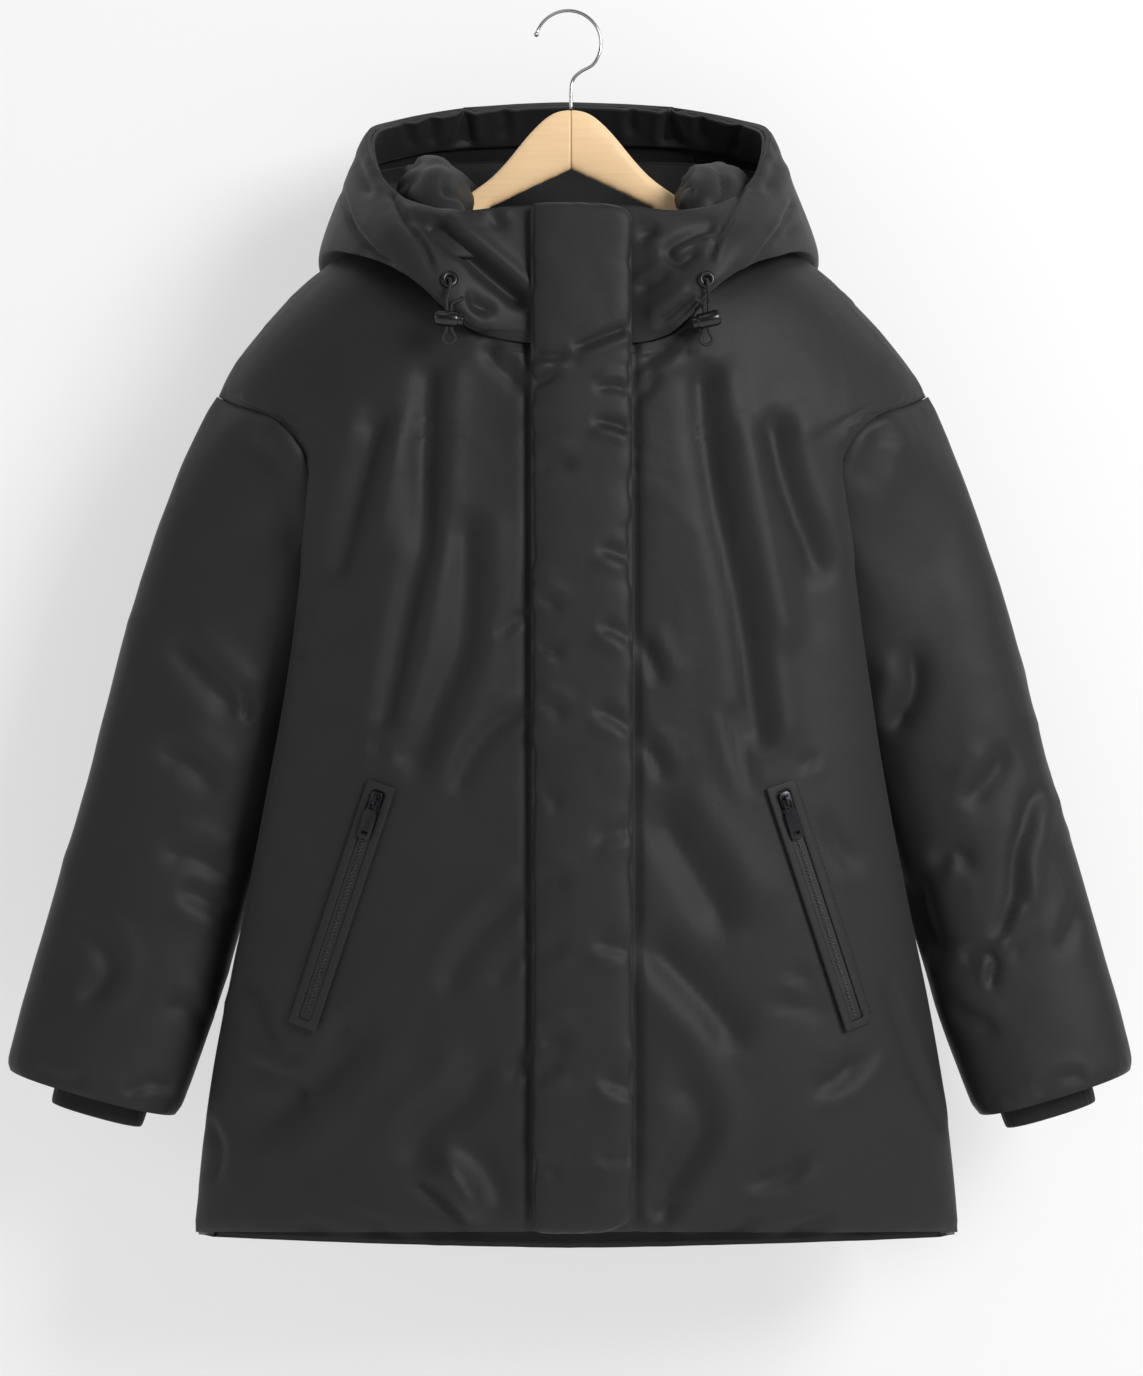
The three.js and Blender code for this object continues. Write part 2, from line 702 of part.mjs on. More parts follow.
// The seam row's wall turns with the cloth.
for (const piece of Object.values(hood)) {
  const last = piece.grid.length - 1;
  piece.grid[last].forEach((p, j) => {
    const centre = piece === hood.hood_centre;
    const { side, k } = centre ? ringSide(HOOD_STRIP_COLUMN + j) : { side: piece.turn, k: j };
    piece.normals[last][j] = neckSeam(side, k).facing;
  });
}
for (const [name, piece] of Object.entries(hood)) {
  addPiece(name, wallGeometry(piece, SHELL_WALL), SHELL_BLACK);
}

// Facing inside the face edge, and the lining from there to the neck

function hoodColumn(j) {
  const rightStart = 2 * HALF_RING - HOOD_STRIP_COLUMN;
  const columnOf = (piece, column) => ({
    points: piece.grid.map((row) => row[column]),
    normals: piece.normals.map((row) => row[column]),
  });
  if (j <= HOOD_STRIP_COLUMN) return columnOf(hood.hood_side_left, j);
  if (j < rightStart) return columnOf(hood.hood_centre, j - HOOD_STRIP_COLUMN);
  return columnOf(hood.hood_side_right, 2 * HALF_RING - j);
}

function facingPiece() {
  return {
    grid: gridOf(FACING_ROWS, 2 * HALF_RING, (i, j) => hoodColumn(j).points[i]),
    normals: gridOf(FACING_ROWS, 2 * HALF_RING, (i, j) => hoodColumn(j).normals[i]),
    turn: -1,
    around: false,
  };
}

const facing = facingPiece();
addPiece("hood_facing", wallGeometry(facing, LINING_WALL, SHELL_WALL + SEAM_GAP), LINING_BLACK);

function liningPiece() {
  const sunk = SHELL_WALL + SEAM_GAP;
  const grid = gridOf(LINING_ROWS, 2 * HALF_RING, (i, j) => {
    const { side, k } = ringSide(j);
    const top = facing.grid[FACING_ROWS][j].clone()
      .lerp(hoodColumn(j).points[FACING_ROWS + 1], LINING_START)
      .addScaledVector(facing.normals[FACING_ROWS][j], -sunk - LINING_WALL - LINING_IN);
    const { start, facing: outward } = neckSeam(side, k);
    return top.lerp(start.clone().addScaledVector(outward, -sunk - LINING_IN), i / LINING_ROWS);
  });
  const piece = { grid, turn: -1, around: false };
  piece.normals = normalsOf(piece).map((row) => row.map((normal) => normal.normalize()));
  return piece;
}

addPiece("hood_lining", wallGeometry(liningPiece(), LINING_WALL), LINING_BLACK);

// Storm flap, laid on the closed front from the face edge to the hem

function stormFlap() {
  const hoodRows = hood.hood_side_left.grid.slice(0, -1).map((row) => row[0]);
  const frontRows = body.front_left.grid.map((row) => row[0]);
  const rings = [...hoodRows, ...frontRows].map(({ y, z }) => FLAP_SECTION.map(({ across, out }) => (
    point(flapCentreAt(z) + across * FLAP_HALF_WIDTH, y - SEAM_GAP - out * FLAP_THICK, z)
  )));
  return facingOut(loftGeometry(rings));
}

addPiece("storm_flap", stormFlap(), SHELL_BLACK);

// Knit cuffs: a ribbed tube that shows below the sleeve and flares up to the sleeve's inside

function cuffPiece(side) {
  const sleeve = body[side < 0 ? "sleeve_left" : "sleeve_right"];
  const seatRow = sleeve.grid.length - 1 - CUFF_SEAT_ROWS;
  const seat = sleeve.grid[seatRow].map((p, j) => (
    p.clone().addScaledVector(sleeve.normals[seatRow][j], -SHELL_WALL - SEAM_GAP)
  ));
  const hem = SLEEVE[SLEEVE.length - 1];
  const outer = point(SLEEVE_CENTRE + side * hem.outU, 0, hem.outZ);
  const inner = point(centreAt(hem.inZ) + side * hem.inU, 0, hem.inZ);
  const across = outer.clone().sub(inner).normalize();
  const down = point(side * across.z, 0, -side * across.x);
  const middle = inner.clone().lerp(outer, 0.5).addScaledVector(across, -CUFF_INWARD);
  middle.y = hem.middleY;
  const samples = CUFF_RIBS * 2;
  const tubePoint = (drop, m) => {
    const angle = (2 * Math.PI * m) / samples;
    const p = middle.clone().addScaledVector(down, drop);
    p.addScaledVector(across, CUFF_HALF_WIDTH * squarish(Math.cos(angle)));
    p.y -= CUFF_HALF_DEPTH * squarish(Math.sin(angle));
    return p;
  };
  const seatPoint = (m) => {
    const place = (m / samples) * seat.length;
    const first = Math.floor(place);
    return seat[first].clone().lerp(seat[(first + 1) % seat.length], place - first);
  };
  const grid = gridOf(CUFF_DROPS.length, samples - 1, (i, m) => (
    i === 0 ? seatPoint(m) : tubePoint(CUFF_DROPS[i - 1], m)
  ));
  const piece = { grid, turn: -side, around: true };
  piece.normals = normalsOf(piece).map((row) => row.map((normal) => normal.normalize()));
  piece.lifts = grid.map((row, i) => row.map((p, m) => (i > 0 && m % 2 ? CUFF_RIB_HIGH : 0)));
  return piece;
}

for (const [name, side] of [["rib_cuff_left", -1], ["rib_cuff_right", 1]]) {
  addPiece(name, facingOut(wallGeometry(cuffPiece(side), CUFF_WALL)), KNIT_BLACK);
}

// Rays from the front find where a piece lies on the cloth.

function clothAt(names, x, z) {
  const ray = new THREE.Raycaster(point(x, IN_FRONT, z), point(0, 1, 0));
  const meshes = names.map((name) => garment.getObjectByName(name));
  const [hit] = ray.intersectObjects(meshes, false);
  if (!hit) return null;
  const normal = hit.face.normal.clone();
  if (normal.y > 0) normal.negate();
  return { at: hit.point, normal };
}

// Slanted zip pockets

function pocketFrame(side) {
  const top = point(POCKET_CENTRE + side * POCKET_TOP.u, 0, POCKET_TOP.z);
  const bottom = point(POCKET_CENTRE + side * POCKET_BOTTOM.u, 0, POCKET_BOTTOM.z);
  const down = bottom.clone().sub(top);
  const long = down.length();
  down.normalize();
  const across = point(-down.z, 0, down.x);
  const panel = side < 0 ? "front_left" : "front_right";
  const middle = top.clone().lerp(bottom, 0.5);
  const { normal } = clothAt([panel], middle.x, middle.z);
  const at = (along, sideways, high) => {
    const p = top.clone().addScaledVector(down, along).addScaledVector(across, sideways);
    return clothAt([panel], p.x, p.z).at.addScaledVector(normal, LAID_ON + high);
  };
  return { at, long, normal };
}

function weltGeometry({ at, long }) {
  const corners = [];
  const sides = [
    { from: [0, -1], to: [0, 1], steps: 2 },
    { from: [0, 1], to: [1, 1], steps: WELT_STEPS },
    { from: [1, 1], to: [1, -1], steps: 2 },
    { from: [1, -1], to: [0, -1], steps: WELT_STEPS },
  ];
  for (const { from, to, steps } of sides) {
    for (let i = 0; i < steps; i++) {
      corners.push([mix(from[0], to[0], i / steps), mix(from[1], to[1], i / steps)]);
    }
  }
  const section = corners.map(([along, sideways]) => {
    const outer = (high) => at(along * long, sideways * WELT_HALF_WIDTH, high);
    const inner = (high) => at(mix(SLOT_END, long - SLOT_END, along), sideways * SLOT_HALF_WIDTH, high);
    return [outer(0), outer(WELT_THICK), inner(WELT_THICK), inner(0)];
  });
  const positions = section.flat().flatMap((p) => [p.x, p.y, p.z]);
  const faces = [];
  for (let i = 0; i < section.length; i++) {
    for (let j = 0; j < 4; j++) {
      const next = (i + 1) % section.length;
      const [a, b, c, d] = [i * 4 + j, i * 4 + ((j + 1) % 4), next * 4 + ((j + 1) % 4), next * 4 + j];
      faces.push(a, b, c, a, c, d);
    }
  }
  return facingOut(indexed(positions, faces));
}

function tapeGeometry({ at, long }) {
  const rings = [];
  const half = SLOT_HALF_WIDTH - SEAM_GAP;
  for (let i = 0; i <= WELT_STEPS; i++) {
    const along = mix(SLOT_END + SEAM_GAP, long - SLOT_END - SEAM_GAP, i / WELT_STEPS);
    const corners = [[-half, 0], [half, 0], [half, TAPE_THICK], [-half, TAPE_THICK]];
    rings.push(corners.map(([sideways, high]) => at(along, sideways, high)));
  }
  return facingOut(loftGeometry(rings));
}

// An outline cut from sheet, as thick as given, its holes cut through
function plate(outline, holes, thick, low) {
  const shape = new THREE.Shape(outline.map(([x, y]) => new THREE.Vector2(x, y)));
  for (const hole of holes) shape.holes.push(new THREE.Path(hole.map(([x, y]) => new THREE.Vector2(x, y))));
  const geometry = new THREE.ExtrudeGeometry(shape, { depth: thick, bevelEnabled: false });
  return geometry.translate(0, 0, low);
}

// Local axes of a slider: x across the zip, y up along it, z out of the cloth
function sliderGeometry() {
  const shell = plate(SLIDER_OUTLINE, [], SLIDER_THICK, 0);
  const bridge = plate(BRIDGE_OUTLINE, [], BRIDGE_WIDE, -BRIDGE_WIDE / 2);
  bridge.applyMatrix4(new THREE.Matrix4().makeBasis(point(0, 1, 0), point(0, 0, 1), point(1, 0, 0)));
  return geometryOf(solidOf(shell).add(solidOf(bridge)));
}

// Local axes of a pull tab: x along its pin, y away from the pin, z out of the cloth when it lies down
function tabGeometry() {
  return plate(TAB_OUTLINE, [TAB_EYE, TAB_SLOT], TAB_THICK, -TAB_THICK / 2);
}

function pocket(label, side) {
  const frame = pocketFrame(side);
  addPiece("pocket_welt_" + label, weltGeometry(frame), SHELL_BLACK);
  addPiece("zip_tape_" + label, tapeGeometry(frame), TAPE_BLACK);
  const above = frame.at(SLIDER_DOWN - SLIDER_AIM, 0, 0);
  const below = frame.at(SLIDER_DOWN + SLIDER_AIM, 0, 0);
  const up = above.sub(below).normalize();
  const out = frame.normal.clone().addScaledVector(up, -frame.normal.dot(up)).normalize();
  const across = up.clone().cross(out);
  const turn = new THREE.Quaternion().setFromRotationMatrix(new THREE.Matrix4().makeBasis(across, up, out));
  const slider = addPiece("slider_" + label, sliderGeometry(), DARK_METAL);
  slider.position.copy(frame.at(SLIDER_DOWN, 0, TAPE_THICK).addScaledVector(out, SLIDER_LIFT));
  slider.quaternion.copy(turn);
  const tab = addPiece("pull_tab_" + label, tabGeometry(), DARK_METAL);
  tab.position.copy(slider.position).addScaledVector(out, PIN_HEIGHT);
  tab.quaternion.copy(turn);
  tab.rotateX(THREE.MathUtils.degToRad(TAB_REST_TILT));
}

pocket("left", -1);
pocket("right", 1);

// Hood drawcords: eyelet, elastic loop and cord lock

function eyelet(label, side) {
  const x = CORD_CENTRE + side * EYELET_AT.u;
  const { at, normal } = clothAt(["hood_side_" + label], x, EYELET_AT.z);
  const ring = addPiece("eyelet_" + label, facingOut(turned(EYELET_PROFILE, EYELET_SIDES)), DARK_METAL);
  ring.position.copy(at).addScaledVector(normal, LAID_ON);
  ring.quaternion.setFromUnitVectors(point(0, 1, 0), normal);
  return { at, normal };
}

// A body turned on the y axis
function turned(profile, sides) {
  const points = profile.map(({ radius, high }) => new THREE.Vector2(radius, high));
  return geometryOf(solidOf(new THREE.LatheGeometry(points, sides)));
}

function circleShape(radius, sides) {
  const shape = new THREE.Shape();
  for (let i = 0; i < sides; i++) {
    const angle = (2 * Math.PI * i) / sides;
    const [x, y] = [radius * Math.cos(angle), radius * Math.sin(angle)];
    if (i === 0) shape.moveTo(x, y);
    else shape.lineTo(x, y);
  }
  return shape;
}

function tubeAlong(points, radius, sides, steps) {
  const path = new THREE.CatmullRomCurve3(points, false, "centripetal");
  const shape = circleShape(radius, sides);
  return new THREE.ExtrudeGeometry(shape, { steps, extrudePath: path, bevelEnabled: false });
}

function lockPlace(label, side) {
  const x = CORD_CENTRE + side * EYELET_AT.u;
  const names = ["hood_side_" + label, "front_" + label];
  const shares = [-1, -0.5, 0, 0.5, 1];
  const depths = [];
  for (const across of shares) {
    for (const up of shares) {
      const cloth = clothAt(names, x + (across * LOCK_LONG) / 2, LOCK_CENTRE_Z + up * LOCK_RADIUS);
      if (cloth) depths.push(cloth.at.y);
    }
  }
  return point(x, Math.min(...depths) - LOCK_RADIUS - LAID_ON, LOCK_CENTRE_Z);
}

function cordPoints(label, side, lock, ring) {
  const holeX = CORD_CENTRE + side * SECOND_HOLE_AT.u;
  const hole = clothAt(["hood_side_" + label], holeX, SECOND_HOLE_AT.z);
  const before = ({ at, normal }, rows) => rows.map(({ out, down }) => (
    at.clone().addScaledVector(normal, CORD_RADIUS + SEAM_GAP + out).add(point(0, 0, -down))
  ));
  const loop = CORD_LOOP.map(({ out, up }) => point(lock.x + side * out, lock.y, lock.z + up));
  return [...before(ring, CORD_AT_EYELET), ...loop, ...before(hole, CORD_AT_HOLE)];
}

function cordLock(label, side, lock) {
  const barrel = turned(LOCK_PROFILE, LOCK_SIDES);
  barrel.rotateZ((-side * Math.PI) / 2);
  barrel.rotateY(THREE.MathUtils.degToRad(LOCK_TILTS[label]));
  const room = CORD_RADIUS + SEAM_GAP;
  const channel = new THREE.BoxGeometry(2 * (CORD_LIMB + room), 2 * (room + CHANNEL_SLACK), CHANNEL_LONG);
  const drilled = facingOut(geometryOf(solidOf(facingOut(barrel)).subtract(solidOf(channel))));
  const mesh = addPiece("cord_lock_" + label, drilled, GLOSSY_PLASTIC);
  mesh.position.copy(lock);
}

for (const [label, side] of [["left", -1], ["right", 1]]) {
  const ring = eyelet(label, side);
  const lock = lockPlace(label, side);
  const route = cordPoints(label, side, lock, ring);
  addPiece("cord_" + label, tubeAlong(route, CORD_RADIUS, ROUND_SIDES, CORD_STEPS), GLOSSY_PLASTIC);
  cordLock(label, side, lock);
}

// Hanger: two wooden halves that meet at the middle, and a wire hook

function barHalf(side) {
  const rings = [];
  const last = BAR.length - 1;
  for (let place = 0; place <= last; place += 0.5) {
    const row = between(BAR, place);
    const u = Math.max(row.u, SEAM_GAP / 2);
    const middle = (row.top + row.bottom) / 2;
    const high = (row.top - row.bottom) / 2;
    rings.push(BAR_SECTION.map(({ across, up }) => (
      point(HANGER_CENTRE + side * u, (across * BAR_THICK) / 2, middle + up * high)
    )));
  }
  return facingOut(loftGeometry(rings));
}

addPiece("hanger_bar_left", barHalf(-1), PALE_WOOD);
addPiece("hanger_bar_right", barHalf(1), PALE_WOOD);

function hookGeometry() {
  const centreZ = WIRE_RADIUS - HOOK_RADIUS;
  const points = [];
  for (let degrees = HOOK_FROM; degrees >= HOOK_TO; degrees -= HOOK_STEP) {
    const angle = THREE.MathUtils.degToRad(degrees);
    points.push(point(HOOK_RADIUS * Math.cos(angle), 0, centreZ + HOOK_RADIUS * Math.sin(angle)));
  }
  for (const { x, z } of HOOK_NECK) points.push(point(x, 0, z));
  points.push(point(HANGER_CENTRE, 0, BAR[0].top + SEAM_GAP));
  const wire = tubeAlong(points, WIRE_RADIUS, ROUND_SIDES, HOOK_STEPS);
  const ball = new THREE.SphereGeometry(HOOK_BALL_RADIUS, 10, 8).translate(points[0].x, 0, points[0].z);
  return geometryOf(solidOf(wire).add(solidOf(ball)));
}

addPiece("hanger_hook", hookGeometry(), STEEL);

export default garment;
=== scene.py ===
# %% [markdown]
# # A hooded padded parka on a wooden hanger
# The solids of the coat are the frame. Each cloth piece here is the same wall, divided finely and given
# its folds, seams and puckers, so that the looks and the solids agree.

import math

import bmesh
import bpy
import numpy as np
from mathutils import Matrix, Vector
from mathutils.bvhtree import BVHTree
from mathutils.kdtree import KDTree


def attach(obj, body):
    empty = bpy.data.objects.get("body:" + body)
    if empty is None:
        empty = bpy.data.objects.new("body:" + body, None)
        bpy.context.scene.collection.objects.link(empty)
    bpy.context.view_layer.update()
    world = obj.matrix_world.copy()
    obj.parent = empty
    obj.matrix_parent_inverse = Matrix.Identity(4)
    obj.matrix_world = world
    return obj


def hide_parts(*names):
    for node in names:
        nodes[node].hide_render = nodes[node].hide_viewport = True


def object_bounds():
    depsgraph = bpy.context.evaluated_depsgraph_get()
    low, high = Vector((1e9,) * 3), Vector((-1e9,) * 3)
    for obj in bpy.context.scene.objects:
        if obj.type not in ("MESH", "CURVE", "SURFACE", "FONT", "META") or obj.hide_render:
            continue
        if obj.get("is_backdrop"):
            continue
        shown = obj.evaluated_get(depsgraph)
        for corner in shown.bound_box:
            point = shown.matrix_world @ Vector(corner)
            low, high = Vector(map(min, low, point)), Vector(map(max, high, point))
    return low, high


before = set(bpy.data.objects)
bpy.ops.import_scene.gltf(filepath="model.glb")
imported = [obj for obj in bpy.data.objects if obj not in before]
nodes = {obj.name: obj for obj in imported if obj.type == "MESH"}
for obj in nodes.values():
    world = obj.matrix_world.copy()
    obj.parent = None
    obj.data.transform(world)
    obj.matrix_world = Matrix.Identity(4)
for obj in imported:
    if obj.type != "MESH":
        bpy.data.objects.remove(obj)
bounds_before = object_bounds()

MM = 0.001
WELD = 0.02 * MM
BODY_CENTRE = (6.0, 0.0)
print("nodes:", len(nodes))

# %% [markdown]
# ## Where things lie in the front view
# Folds are read in the front view of the picture, in its own columns and rows. The eye is level and
# 2.6 m in front of the hanger, so a place on the cloth is projected on the hanger's plane first.

# %% Front view
EYE = {"x": 2.7, "z": -527.0, "away": 2600.0}
PICTURE = {"width": 1143, "height": 1376, "middle_column": 571.5, "middle_row": 688.0}
PIXEL = 0.78


def table(columns, rows):
    return [dict(zip(columns, row)) for row in rows]


def on_view_plane(points):
    """Where points in millimetres are seen on the hanger's plane."""
    nearer = 1 + points[:, 1] / EYE["away"]
    across = EYE["x"] + (points[:, 0] - EYE["x"]) / nearer
    up = EYE["z"] + (points[:, 2] - EYE["z"]) / nearer
    return np.stack([across, up], axis=1)


def from_picture(places):
    """Picture columns and rows as millimetres on the hanger's plane."""
    spots = np.array(places, dtype=float)
    across = EYE["x"] + (spots[:, 0] - PICTURE["middle_column"]) * PIXEL
    up = EYE["z"] + (PICTURE["middle_row"] - spots[:, 1]) * PIXEL
    return np.stack([across, up], axis=1)


def smooth(low, high, value):
    t = np.clip((value - low) / (high - low), 0, 1)
    return t * t * (3 - 2 * t)


def curve_through(points, steps):
    """A smooth line through points, with that many steps between two of them."""
    points = np.asarray(points, dtype=float)
    line = []
    for i in range(len(points) - 1):
        a, b = points[max(i - 1, 0)], points[i]
        c, d = points[i + 1], points[min(i + 2, len(points) - 1)]
        for step in range(steps):
            t = step / steps
            bend = (2 * a - 5 * b + 4 * c - d) * t + (3 * b - a - 3 * c + d) * t * t
            line.append(b + 0.5 * t * (c - a + bend))
    line.append(points[-1])
    return np.array(line)


# %% [markdown]
# ## Noise
# Soft unevenness comes from smooth value noise in millimetres, stretched along the way the cloth hangs.

# %% Noise
def lattice(i, j, k, seed):
    h = (i * 374761393 + j * 668265263 + k * 1440662683 + seed * 1274126177) & 0xFFFFFFFF
    h = ((h ^ (h >> 13)) * 1274126177) & 0xFFFFFFFF
    return ((h ^ (h >> 16)) & 0xFFFF) / 32767.5 - 1


def noise(points, size, seed=0):
    """Smooth values from -1 to 1 at points in millimetres; size is one number or one for each axis."""
    p = points / np.asarray(size, dtype=float) + 1000
    cell = np.floor(p).astype(np.int64)
    t = p - cell
    t = t * t * t * (t * (t * 6 - 15) + 10)
    total = np.zeros(len(p))
    for a in (0, 1):
        for b in (0, 1):
            for c in (0, 1):
                weight = np.abs(1 - a - t[:, 0]) * np.abs(1 - b - t[:, 1]) * np.abs(1 - c - t[:, 2])
                total += weight * lattice(cell[:, 0] + a, cell[:, 1] + b, cell[:, 2] + c, seed)
    return total


def creases(points, size, seed=0):
    """Narrow soft ridges from 0 to 1, as wrinkles lie in cloth."""
    shifted = points + 0.35 * np.mean(size) * noise(points, np.asarray(size) * 1.7, seed + 7)[:, None]
    return (1 - np.abs(noise(shifted, size, seed))) ** 3


# %% [markdown]
# ## Cloth from a wall
# A wall is welded, its outside is told from its inside, and it is divided with Catmull-Clark. Each
# vertex keeps the way out of the cloth, so that both sides of the wall move together.

# %% Walls
def partner_edges(bm, thick):
    """Vertices of the outside's rim and of the inside's, joined across the wall's edge."""
    partners = {}
    for edge in bm.edges:
        if abs(edge.calc_length() / MM - thick) < 0.03:
            a, b = edge.verts
            partners[a], partners[b] = b, a
    return partners


def one_side(bm, partners):
    """The vertices that are reached without crossing the wall's edge."""
    start = next(v for v in bm.verts if v not in partners)
    reached, waiting = {start}, [start]
    while waiting:
        v = waiting.pop()
        around = {edge.other_vert(v) for edge in v.link_edges}
        for other in around:
            across = partners.get(other)
            if other in reached or partners.get(v) is other or (v in partners and across in around):
                continue
            reached.add(other)
            waiting.append(other)
    return reached


def faces_out(bm, group, centre):
    """Whether a side of the wall faces away from the coat's middle line."""
    total = 0.0
    for face in bm.faces:
        if all(v in group for v in face.verts):
            middle = face.calc_center_median()
            away = middle - centre(middle)
            total += face.normal.dot(away.normalized()) * face.calc_area()
    return total > 0


def side_normals(bm, group):
    normals = {v: Vector() for v in group}
    for face in bm.faces:
        if all(v in group for v in face.verts):
            for v in face.verts:
                normals[v] += face.normal * face.calc_area()
    return {v: n.normalized() for v, n in normals.items()}


def middle_line(bm):
    """The middle of a tube at a height."""
    rows = np.array([v.co[:] for v in bm.verts])

    def centre(p):
        near = rows[np.abs(rows[:, 2] - p.z) < 40 * MM]
        middle = near.mean(axis=0) if len(near) else rows.mean(axis=0)
        return Vector((middle[0], middle[1], p.z))

    return centre


def coat_middle(p):
    return Vector((BODY_CENTRE[0] * MM, BODY_CENTRE[1] * MM, p.z))


def hood_middle(p):
    return Vector((BODY_CENTRE[0] * MM, 10 * MM, -150 * MM))


def divided(bm, name, levels):
    mesh = bpy.data.meshes.new(name)
    bm.to_mesh(mesh)
    bm.free()
    rough = bpy.data.objects.new(name + "_rough", mesh)
    bpy.context.collection.objects.link(rough)
    modifier = rough.modifiers.new("divide", "SUBSURF")
    modifier.levels = modifier.render_levels = levels
    modifier.uv_smooth = "NONE"
    graph = bpy.context.evaluated_depsgraph_get()
    fine = bpy.data.meshes.new_from_object(rough.evaluated_get(graph), depsgraph=graph)
    bpy.data.objects.remove(rough)
    fine.name = name
    return fine


def attribute(mesh, name, width):
    values = np.zeros(len(mesh.vertices) * width)
    mesh.attributes[name].data.foreach_get("vector" if width == 3 else "value", values)
    return values.reshape(-1, width) if width == 3 else values


CLOTH_NODES = [
    "front_left", "front_right", "back", "sleeve_left", "sleeve_right", "hood_side_left", "hood_side_right",
    "hood_centre",
]
MEETING = 1.3
CORNER = math.radians(38)


def point_tree(name):
    corners = np.unique(np.round(np.array([v.co[:] for v in nodes[name].data.vertices]) / MM, 3), axis=0)
    tree = KDTree(len(corners))
    for i, p in enumerate(corners):
        tree.insert(p, i)
    tree.balance()
    return tree


trees = {name: point_tree(name) for name in CLOTH_NODES}


def is_corner(v, name, outside):
    """Whether the wall's rim turns sharply at a vertex, or three pieces meet there."""
    rim = [edge.other_vert(v) for edge in v.link_edges
           if {sum(w in outside for w in face.verts) / len(face.verts) for face in edge.link_faces} & {0.5}
           and len({sum(w in outside for w in face.verts) / len(face.verts) for face in edge.link_faces}) > 1]
    if len(rim) == 2 and (rim[0].co - v.co).angle(v.co - rim[1].co, 0.0) > CORNER:
        return True
    place = Vector(v.co) / MM
    others = sum(tree.find(place)[2] < MEETING for node, tree in trees.items() if node != name)
    return others > 1


def wall(name, thick, levels, centre):
    """A cloth piece as arrays in millimetres: points, the way out, which side, and the rim's share."""
    bm = bmesh.new()
    bm.from_mesh(nodes[name].data)
    out = bm.verts.layers.float_vector.new("out")
    side = bm.verts.layers.float.new("side")
    rim = bm.verts.layers.float.new("rim")
    sharp = bm.edges.layers.float.new("crease_edge")
    pinned = bm.verts.layers.float.new("crease_vert")
    bmesh.ops.remove_doubles(bm, verts=bm.verts, dist=WELD)
    bmesh.ops.join_triangles(
        bm, faces=bm.faces, angle_face_threshold=math.radians(50), angle_shape_threshold=math.radians(75))
    partners = partner_edges(bm, thick)
    group = one_side(bm, partners)
    others = set(bm.verts) - group
    centre = centre or middle_line(bm)
    outside, inside = (group, others) if faces_out(bm, group, centre) else (others, group)
    normals = {**side_normals(bm, outside), **{v: -n for v, n in side_normals(bm, inside).items()}}
    for v in bm.verts:
        partner = partners.get(v)
        if partner and (v in outside) != (partner in outside):
            step = v.co - partner.co if v in outside else partner.co - v.co
            v[out] = step.normalized()
            v[rim] = 1.0
            v[pinned] = 1.0 if is_corner(v, name, outside) else 0.0
        else:
            v[out] = normals[v]
        v[side] = 1.0 if v in outside else 0.0
    for edge in bm.edges:
        kinds = {sum(v in outside for v in face.verts) / len(face.verts) for face in edge.link_faces}
        if len(kinds) > 1:
            edge[sharp] = 1.0
    fine = divided(bm, name + "_cloth", levels)
    points = np.zeros(len(fine.vertices) * 3)
    fine.vertices.foreach_get("co", points)
    cloth = {
        "mesh": fine,
        "points": points.reshape(-1, 3) / MM,
        "out": attribute(fine, "out", 3),
        "side": attribute(fine, "side", 1),
        "rim": attribute(fine, "rim", 1),
    }
    cloth["out"] /= np.linalg.norm(cloth["out"], axis=1)[:, None] + 1e-9
    print(name, len(fine.vertices), "vertices, outside", round(float(cloth["side"].mean()), 2))
    return cloth


def seam_distance(cloth):
    """How far each point is from the piece's edge, and the nearest place on the edge."""
    points, rim = cloth["points"], cloth["rim"]
    edge = points[(rim > 0.97) & (cloth["side"] > 0.97)]
    tree = KDTree(len(edge))
    for i, p in enumerate(edge):
        tree.insert(p, i)
    tree.balance()
    distance = np.full(len(points), 1000.0)
    nearest = points.copy()
    for i in np.nonzero(rim > 0.001)[0]:
        place, _, away = tree.find(points[i])
        distance[i] = away
        nearest[i] = place
    return distance, nearest


# %% [markdown]
# ## Folds
# Each fold is a line in the front view with a width and a height. Beside a trough the cloth rises a
# little, as it does where padding is pushed aside. The back gets the same folds, mirrored.

# %% Folds
FOLD_STEPS = 6
SHOULDER = 0.45
SOFT_TIP = 3.5
FOLD_DEPTH = 1.3
DEPTH_BY_WIDTH = 0.1


def fold_lift(seen, places, wide, high, lee=1):
    line = curve_through(from_picture(places), FOLD_STEPS)
    low, top = line.min(axis=0) - 4 * wide, line.max(axis=0) + 4 * wide
    near = np.nonzero(np.all((seen > low) & (seen < top), axis=1))[0]
    lift = np.zeros(len(seen))
    if not len(near):
        return lift
    p = seen[near]
    starts, steps = line[:-1], np.diff(line, axis=0)
    lengths = np.linalg.norm(steps, axis=1)
    best = np.full(len(p), 1e9)
    across = np.zeros(len(p))
    along = np.zeros(len(p))
    passed = 0.0
    for start, step, length in zip(starts, steps, lengths):
        way = step / length
        t = np.clip((p - start) @ way, 0, length)
        rest = p - start - t[:, None] * way
        away = np.linalg.norm(rest, axis=1)
        closer = away < best
        best = np.where(closer, away, best)
        across = np.where(closer, rest @ np.array([-way[1], way[0]]), across)
        along = np.where(closer, passed + t, along)
        passed += length
    ends = smooth(0, min(2.2 * wide, passed / 2), np.minimum(along, passed - along))
    crisp = np.exp((SOFT_TIP - np.sqrt(best ** 2 + SOFT_TIP ** 2)) / (0.5 * wide))
    groove = 0.6 * np.exp(-((best / wide) ** 2)) + 0.4 * crisp
    shoulder = np.exp(-(((across * lee - 1.9 * wide) / (1.2 * wide)) ** 2)) * np.exp(-((best / (3.2 * wide)) ** 4))
    lift[near] = (FOLD_DEPTH + DEPTH_BY_WIDTH * wide) * high * ends * (groove - SHOULDER * shoulder)
    return lift


